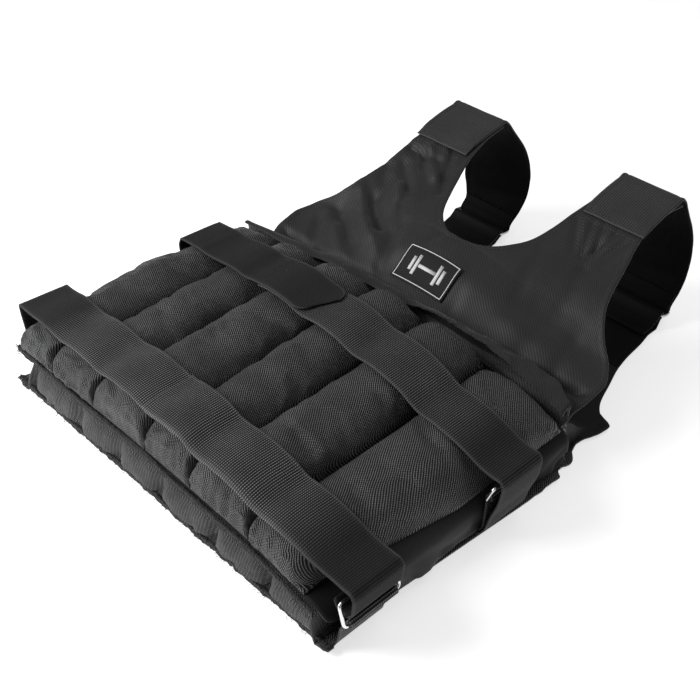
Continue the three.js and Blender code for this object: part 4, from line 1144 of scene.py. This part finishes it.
def sweepBand(name, node, which, stations, width, fade=None, restsOn="front_pocket_3",
              cornerRadius=0.0, stiff=6.0, lean=0.0):
    # Stations are x, z (or nan where the band lies on the pockets) and how far it is lifted there.
    data = np.array(stations, float)
    w = clustered(-width / 2, width / 2, 15, 2.2)[None, :]
    x = data[:, :1] + 0 * w
    x = x + lean * w / (width / 2) * smoothStep(x, data[-1, 0] - 45, data[-1, 0])
    y = beltLine(which, x) + w
    onPockets = np.isnan(data[:, 1])
    z = np.where(onPockets[:, None], 0, np.nan_to_num(data[:, 1])[:, None]) + 0 * w
    z[onPockets] = tautWeb(x[onPockets], y[onPockets], stiff) + data[onPockets, 2][:, None]
    middle = np.stack([x, y, z], 2)
    along = runLength(middle[:, middle.shape[1] // 2])
    edge = width / 2 - np.abs(w) + 0 * z
    if cornerRadius:  # the two corners of its free end are cut round
        inset = np.maximum(0, cornerRadius - (along[-1] - along)[:, None] + 0 * w)
        narrow = cornerRadius - np.sqrt(np.maximum(0, cornerRadius**2 - inset**2))
        middle[..., 1] = beltLine(which, x) + w * (1 - narrow / (width / 2))
    ends = np.minimum(along, along[-1] - along)[:, None] + 0 * w
    curl = 0.35 * softNoise(along[:, None] + 0 * w, np.sign(w) * 40 + 0 * z, 12, 170 + len(name))
    curl = curl * np.exp(-edge / 3) * smoothStep(ends, 4, 12)
    middle[..., 1] += curl * np.sign(w)
    rim = np.minimum(roundEdge(edge, 0.8, 0.3), roundEdge(ends, 0.8, 0.4))
    selvageAndHighlight = np.exp(-(((edge - 1.0) / 0.9) ** 2))
    wall = belt["wall"] * (0.9 + 0.12 * selvageAndHighlight) * rim
    flat = np.stack([w + 0 * z, along[:, None] + 0 * w], 2)
    zone = np.zeros(middle.shape)
    if fade:  # its hook-and-loop stretch, smooth and darker; at the right ends partly painted shade
        start, end, most = fade
        zone[..., 0] = (most * smoothStep((data[:, 0] / half - start) / (end - start), 0, 1))[:, None]
    # the whole band keeps at least this share of the smooth, darker tone
    zone[..., 0] = np.maximum(zone[..., 0], which["leastSmooth"])
    # the selvage mask also paints a highlight along the band's edges
    zone[..., 1] = selvageAndHighlight
    piece = thickSheet(name, middle, wall, flat, zone=zone, material=webbing)
    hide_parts(node)
    beltGrids[name] = middle


def smoothPath(points, step=2.5):
    count = max(6, int(runLength(np.array([p[:2] for p in points]))[-1] / step))
    _, x, z = alongPath(points, count)
    return [(a, b, 0) for a, b in zip(x, z)]


pitch = half / 22
for key, which in belts.items():
    overlapFrom, overlapTo = which["rightEnd"] * half, which["leftEnd"] * half

    def lifted(x):
        enter = smoothStep(x, overlapFrom - pitch * 2.5, overlapFrom - pitch * 0.6)
        leave = smoothStep(x, overlapTo + pitch * 0.6, overlapTo + pitch * 2.5)
        return webLift * (enter - leave)

    edgeX = which["leftEdge"] * pitch
    edgeZ = float(webHeight(np.array([-edgeX]), beltLine(which, np.array([-edgeX])))[0])
    drop = [(-half * a, backTop * b) for a, b in sideDrops["left"]]
    leftSide = smoothPath([(-half * 0.962, marginTop), *drop, (-edgeX, edgeZ)])[:-1]
    onTop = which["leftOnTop"]
    run = np.arange(-edgeX, round(overlapTo / pitch) * pitch + 0.1, pitch / 3.5)
    left = leftSide + [(x, math.nan, float(lifted(x)) if onTop else 0) for x in run]
    sweepBand(f"{key}BeltLeft", f"{key}_belt_left", which, left, belt["width"], which["leftFade"],
              **which["leftCut"])

    edgeX = 23 * pitch
    edgeZ = float(webHeight(np.array([edgeX]), beltLine(which, np.array([edgeX])))[0])
    if key == "lower":
        fold = arcPoints(1.06 * half, 1.6 * backTop, 8.5, 5, -185, 14)
    else:
        fold = [(half * a, backTop * b) for a, b in sideDrops["upper"]]
        fold += [(half * 1.012, marginTop + 1.0), (half * 0.975, marginTop)]
    over = [(edgeX, edgeZ), (half * 1.085, backTop * 2.06), (belt["side"], backTop * 1.9)]
    run = np.arange(round(overlapFrom / pitch) * pitch, edgeX + 0.1, pitch / 3.5)
    right = [(x, math.nan, 0 if onTop else float(lifted(x))) for x in run] + smoothPath(over + fold, 1.8)[1:]
    sweepBand(f"{key}BeltRight", f"{key}_belt_right", which, right, belt["width"], which["rightTapeAndShade"])

    grip = ring["radius"] + 0.35 + belt["wall"] / 2
    barX, barZ = beltRings[key][1][0] * half, beltRings[key][1][1] * backTop
    rest = marginTop + (0 if key == "lower" else webLift)
    bendX = half * 1.0385
    tab = [(half * 0.955, rest), (half * 0.992, rest + 0.3), (half * 1.022, rest + 2.2),
           (bendX, backTop * 0.45), (bendX + (barX - grip - bendX) * 0.2, backTop * 0.75)]
    tab = smoothPath(tab + arcPoints(barX, barZ, grip, 200, -60, 12), 1.6)
    sweepBand(f"{key}RingTab", f"{key}_ring_tab", which, tab, belt["width"] * 0.94, restsOn="back_panel")
print("belts laid")


def labelPoint(u, v, lift):
    x = label["aside"] + u * label["width"]
    at = label["at"] + v * labelRows
    y = body["length"] + at * body["bibLength"]
    return np.stack([x, y, bibHeight(x, at) + (body["cloth"] + label["wall"]) / 2 + 1.4 + lift], -1)


def makeLabel():
    u = clustered(-0.5, 0.5, 24, 0.03)[None, :]
    v = clustered(-0.5, 0.5, 16, 0.04)[:, None]
    u, v = u + 0 * v, v + 0 * u
    edge = np.minimum((0.5 - np.abs(u)) * label["width"], (0.5 - np.abs(v)) * label["height"])
    middle = labelPoint(u, v, 0)
    wall = label["wall"] * roundEdge(edge, 0.5, 0.5)
    flat = np.stack([u * label["width"], v * label["height"]], 2)
    piece = thickSheet("labelPatch", middle, wall, flat, material=labelCloth)
    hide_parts("label_patch")


labelBars = [  # the motif: left and right ends and height, in label units
    (-0.3, -0.245, 0.34), (-0.22, -0.165, 0.5), (-0.15, 0.18, 0.08), (0.19, 0.245, 0.5), (0.27, 0.325, 0.34),
]


def satinStrip(name, outline):
    # A raised strip of thread through pairs of points (inner, outer) in label units.
    rows = np.array(outline, float)
    lift = label["wall"] / 2
    upper, lower = (
        np.stack([labelPoint(rows[:, k, 0], rows[:, k, 1], lift + more) for k in (1, 0)], 1)
        for more in (0.5, -0.1)
    )
    piece = sheetBetween(name, upper, lower, upper[..., :2], material=paleThread)


def makeLabelThread():
    inX, inY = 0.5 - label["border"] / label["width"], 0.5 - label["border"] / label["height"]
    thin = 0.75
    thinX, thinY = inX - thin / label["width"], inY - thin / label["height"]
    outline = []
    corners = [(-1, -1), (1, -1), (1, 1), (-1, 1), (-1, -1)]
    for (ax, ay), (bx, by) in zip(corners[:-1], corners[1:]):
        for t in np.linspace(0, 1, 12):
            sx, sy = ax + (bx - ax) * t, ay + (by - ay) * t
            outline.append([(sx * inX, sy * inY), (sx * thinX, sy * thinY)])
    satinStrip("labelBorder", outline)
    for k, (left, right, tall) in enumerate(labelBars):
        satinStrip(f"labelMotif{k}", [[(left, y), (right, y)] for y in (-tall / 2, 0, tall / 2)])


makeLabel()
makeLabelThread()
print("label sewn")

stitch = {"length": 2.7, "pitch": 3.6, "radius": 0.42}
beltStitch = {"length": 1.9, "pitch": 2.5, "radius": 0.28}


def resample(path, step):
    path = np.asarray(path, float)
    length = runLength(path)
    at = np.arange(step / 2, length[-1], step)
    return np.stack([np.interp(at, length, path[:, k]) for k in range(path.shape[1])], 1)


def sewAlong(name, path, normals, size=stitch):
    both = resample(np.concatenate([path, normals], 1), size["pitch"])
    centre, normal = both[:, :3], both[:, 3:]
    ahead = np.gradient(centre, axis=0)
    ahead /= np.maximum(np.linalg.norm(ahead, axis=1, keepdims=True), 1e-9)
    normal /= np.maximum(np.linalg.norm(normal, axis=1, keepdims=True), 1e-9)
    side = np.cross(ahead, normal)
    profile = [(-0.5, 0.35, -0.35), (-0.3, 0.95, 0.1), (0, 1.1, 0.3), (0.3, 0.95, 0.1), (0.5, 0.35, -0.35)]
    turn = np.linspace(0, 2 * math.pi, 6, endpoint=False)
    rings = []
    for along, wide, up in profile:
        rim = side[:, None] * np.cos(turn)[None, :, None] + normal[:, None] * np.sin(turn)[None, :, None] * 0.8
        middle = centre + ahead * along * size["length"] + normal * up * size["radius"]
        rings.append(middle[:, None] + rim * wide * size["radius"])
    points = np.stack(rings, 1)  # stitch, ring, side
    caps = [[0, 1, 2, 3], [0, 3, 4, 5], [27, 26, 25, 24], [29, 28, 27, 24]]
    faces = ringFaces(len(profile), len(turn), caps, len(points))
    piece = addMesh(name, points, faces[:, ::-1], material=darkThread)


def sewOver(name, tree, line):
    spots, normals = [], []
    for x, y in resample(line, 1.7):
        spot, normal = dropOn(tree, x, y)
        if spot is not None:
            spots.append(spot)
            normals.append(normal)
    sewAlong(name, np.array(spots), np.array(normals))


bibTree = finder(bibCloth)
strapTree = finder(*straps)


def bibEdgeLine(inset, side, low=0.12, high=0.72):
    at = np.linspace(low, high, 90)
    outer = smoothColumn(bibRows, "outer", at) * half
    return [(side * (o - inset), body["length"] + 1.1 + a * body["bibLength"]) for o, a in zip(outer, at)]


for side, word in ((-1, "Left"), (1, "Right")):
    sewOver(f"bibSeam{word}", bibTree, bibEdgeLine(5.2, side))
    middle = side * (body["halfNeck"] + body["tongue"] / 2)
    reach = body["tongue"] / 2 - 4.6
    seamY = body["length"] + strap["seam"] * body["bibLength"]
    sewOver(f"strapEnd{word}", strapTree, [(middle - reach, seamY + 3), (middle + reach, seamY + 3)])
    point = (middle - side * 4, seamY - 36)
    braces = [
        [(middle - reach, seamY - 3), point],
        [(middle + reach, seamY - 3), point],
        [(middle - reach, seamY - 4), (middle + reach, seamY - 4)],
    ]
    for k, line in enumerate(braces):
        sewOver(f"brace{word}{k}", bibTree, line)
    for inner in (-1, 1):
        sewOver(f"strapSeam{word}{inner + 1}", strapTree,
                [(middle + inner * reach, seamY + 3), (middle + inner * reach, seamY + 55)])

at = np.linspace(0.72, 0.345, 60)
neckLine = list(zip(smoothColumn(neckRows, "inner", at) * body["halfNeck"] + 5.2,
                    body["length"] + 1.1 + at * body["bibLength"] - 3 * (0.72 - at)))
neckLine += [(x, neckLine[-1][1] - 4) for x in (12, 4)]
sewOver("neckSeam", bibTree, neckLine + [(-x, y) for x, y in neckLine[::-1]])

for k, surface in enumerate(tubeSurfaces[1:5], 2):  # double rows round the mouths
    for row, name in ((-5, "a"), (-9, "b")):
        normal = gridNormals(surface)[row, 3:-3]
        sewAlong(f"mouthSeam{k}{name}", surface[row, 3:-3], normal)

for name, middle in beltGrids.items():
    if name.endswith("Tab"):
        continue
    row = 3 if name.endswith("Right") else -4
    normal = gridNormals(middle)[row, 2:-2]
    sewAlong(f"{name}End", middle[row, 2:-2] + normal * belt["wall"] * 0.46, normal, beltStitch)

for name, low, high, place, rise in (
    ("frontHemSeam", -1.0, 0.93, frontHemPlace, 1.5),
    ("backHemSeam", -0.98, 0.98, lambda x: (backHemY + 0 * x, 8.6 + 0 * x), 0),
):
    x = np.linspace(low, high, 240) * half
    y, z = place(x)
    path = np.stack([x, y - binding["wall"] / 2 - 0.1, z + rise], 1)
    sewAlong(name, path, np.repeat([[0.0, -1.0, 0.15]], len(path), 0))
print("stitched")

fray = {"count": 150, "radius": 0.16, "seed": 7}


def makeFrays():
    rng = np.random.RandomState(fray["seed"])
    roots, aims, lengths = [], [], []
    for _ in range(fray["count"]):
        x = rng.uniform(-0.98, 0.98) * half
        roots.append((x, backHemY - 0.1, rng.uniform(1.0, 5)))
        aims.append((rng.uniform(-0.9, 0.9), -1, rng.uniform(-0.5, 0.25)))
        lengths.append(rng.uniform(1.5, 4.5))
    for _ in range(fray["count"] // 2):
        x = rng.uniform(-1.01, 0.94) * half
        rise = float(column(hemRows, "rise", x / half)) * frontBase
        roots.append((x, float(hemLine(x)) - hemOut - 1.1, rise + rng.uniform(-4, 4)))
        aims.append((rng.uniform(-1, 1), -1, rng.uniform(-0.6, 0.6)))
        lengths.append(rng.uniform(1.0, 3.2))
    for _ in range(26):  # the tuft at the front hem's left end
        tuftY = float(hemLine(-half)) - 2.4 + rng.uniform(-1, 1)
        roots.append((-1.015 * half, tuftY, 1.06 * frontBase + rng.uniform(-5, 5)))
        aims.append((-1.2, rng.uniform(-0.7, 0.3), rng.uniform(-0.4, 0.9)))
        lengths.append(rng.uniform(3, 8))
    steps = np.linspace(0, 1, 6)
    turn = np.linspace(0, 2 * math.pi, 4, endpoint=False)
    points = []
    for root, aim, length in zip(roots, aims, lengths):
        aim = np.array(aim) / np.linalg.norm(aim)
        bend = rng.uniform(-1, 1, 3)
        bend[2] -= 0.4
        line = np.array(root) + aim * (steps * length)[:, None] + bend * ((steps**2) * length * 0.45)[:, None]
        line[:, 2] = np.maximum(line[:, 2], 0.25)
        sideways = np.cross(aim, [0.3, 0.2, 1.0])
        sideways /= np.linalg.norm(sideways)
        upward = np.cross(sideways, aim)
        thin = fray["radius"] * (1 - 0.6 * steps)
        rim = np.cos(turn)[:, None] * sideways + np.sin(turn)[:, None] * upward
        points.append(line[:, None] + rim[None] * thin[:, None, None])
    faces = ringFaces(len(steps), len(turn), [[0, 1, 2, 3], [23, 22, 21, 20]], len(points))
    piece = addMesh("frayedThreads", points, faces, material=darkThread)


makeFrays()
print("frays added")

studio = {
    "world": 0.27, "key": 16.8, "keyAt": (-0.64, -0.97, 0.78), "keySize": 0.8,
    "fill": 3.0, "fillAt": (0.2, 0.9, 1.5), "fillSize": 1.4,
    "floor": 0.9, "floorGlow": 0.6, "floorHalf": 40.0,
}
photoCamera = {
    "lens": 54.77, "place": (0.51239, -0.61647, 0.61592), "right": (0.70558, 0.70656, 0.05423),
    "up": (-0.45769, 0.39596, 0.79608), "ahead": (-0.541, 0.58651, -0.60277),
}


def makeFloor():
    mesh = bpy.data.meshes.new("floor")
    far = studio["floorHalf"]
    mesh.from_pydata([(-far, -far, 0), (far, -far, 0), (far, far, 0), (-far, far, 0)], [], [[0, 1, 2, 3]])
    floor = bpy.data.objects.new("floor", mesh)
    scene.collection.objects.link(floor)
    r = Recipe("pale floor")
    tone = studio["floor"]
    r.shader.inputs["Emission Color"].default_value = (1, 1, 1, 1)
    r.shader.inputs["Emission Strength"].default_value = studio["floorGlow"]
    mesh.materials.append(r.finish((tone,) * 3, None, 0.9, 0.0, 0.1))


def addArea(name, power, place, size):
    light = bpy.data.lights.new(name, "AREA")
    light.energy = power
    light.size = size
    lamp = bpy.data.objects.new(name, light)
    lamp.location = place
    lamp.rotation_euler = (Vector((0, 0, 0.05)) - Vector(place)).to_track_quat("-Z", "Y").to_euler()
    scene.collection.objects.link(lamp)


makeFloor()
addArea("keyLight", studio["key"], studio["keyAt"], studio["keySize"])
addArea("fillLight", studio["fill"], studio["fillAt"], studio["fillSize"])
world = bpy.data.worlds.new("studio")
world.use_nodes = True
world.node_tree.nodes["Background"].inputs[0].default_value = (1, 1, 1, 1)
world.node_tree.nodes["Background"].inputs[1].default_value = studio["world"]
scene.world = world
scene.view_settings.view_transform = "Standard"

lens = bpy.data.cameras.new("camera")
lens.lens = photoCamera["lens"]
lens.sensor_width = 36
camera = bpy.data.objects.new("camera", lens)
right, up, ahead, place = (Vector(photoCamera[k]) for k in ("right", "up", "ahead", "place"))
camera.matrix_world = Matrix([(right[k], up[k], -ahead[k], place[k]) for k in range(3)] + [(0, 0, 0, 1)])
scene.collection.objects.link(camera)
scene.camera = camera
print("studio set")
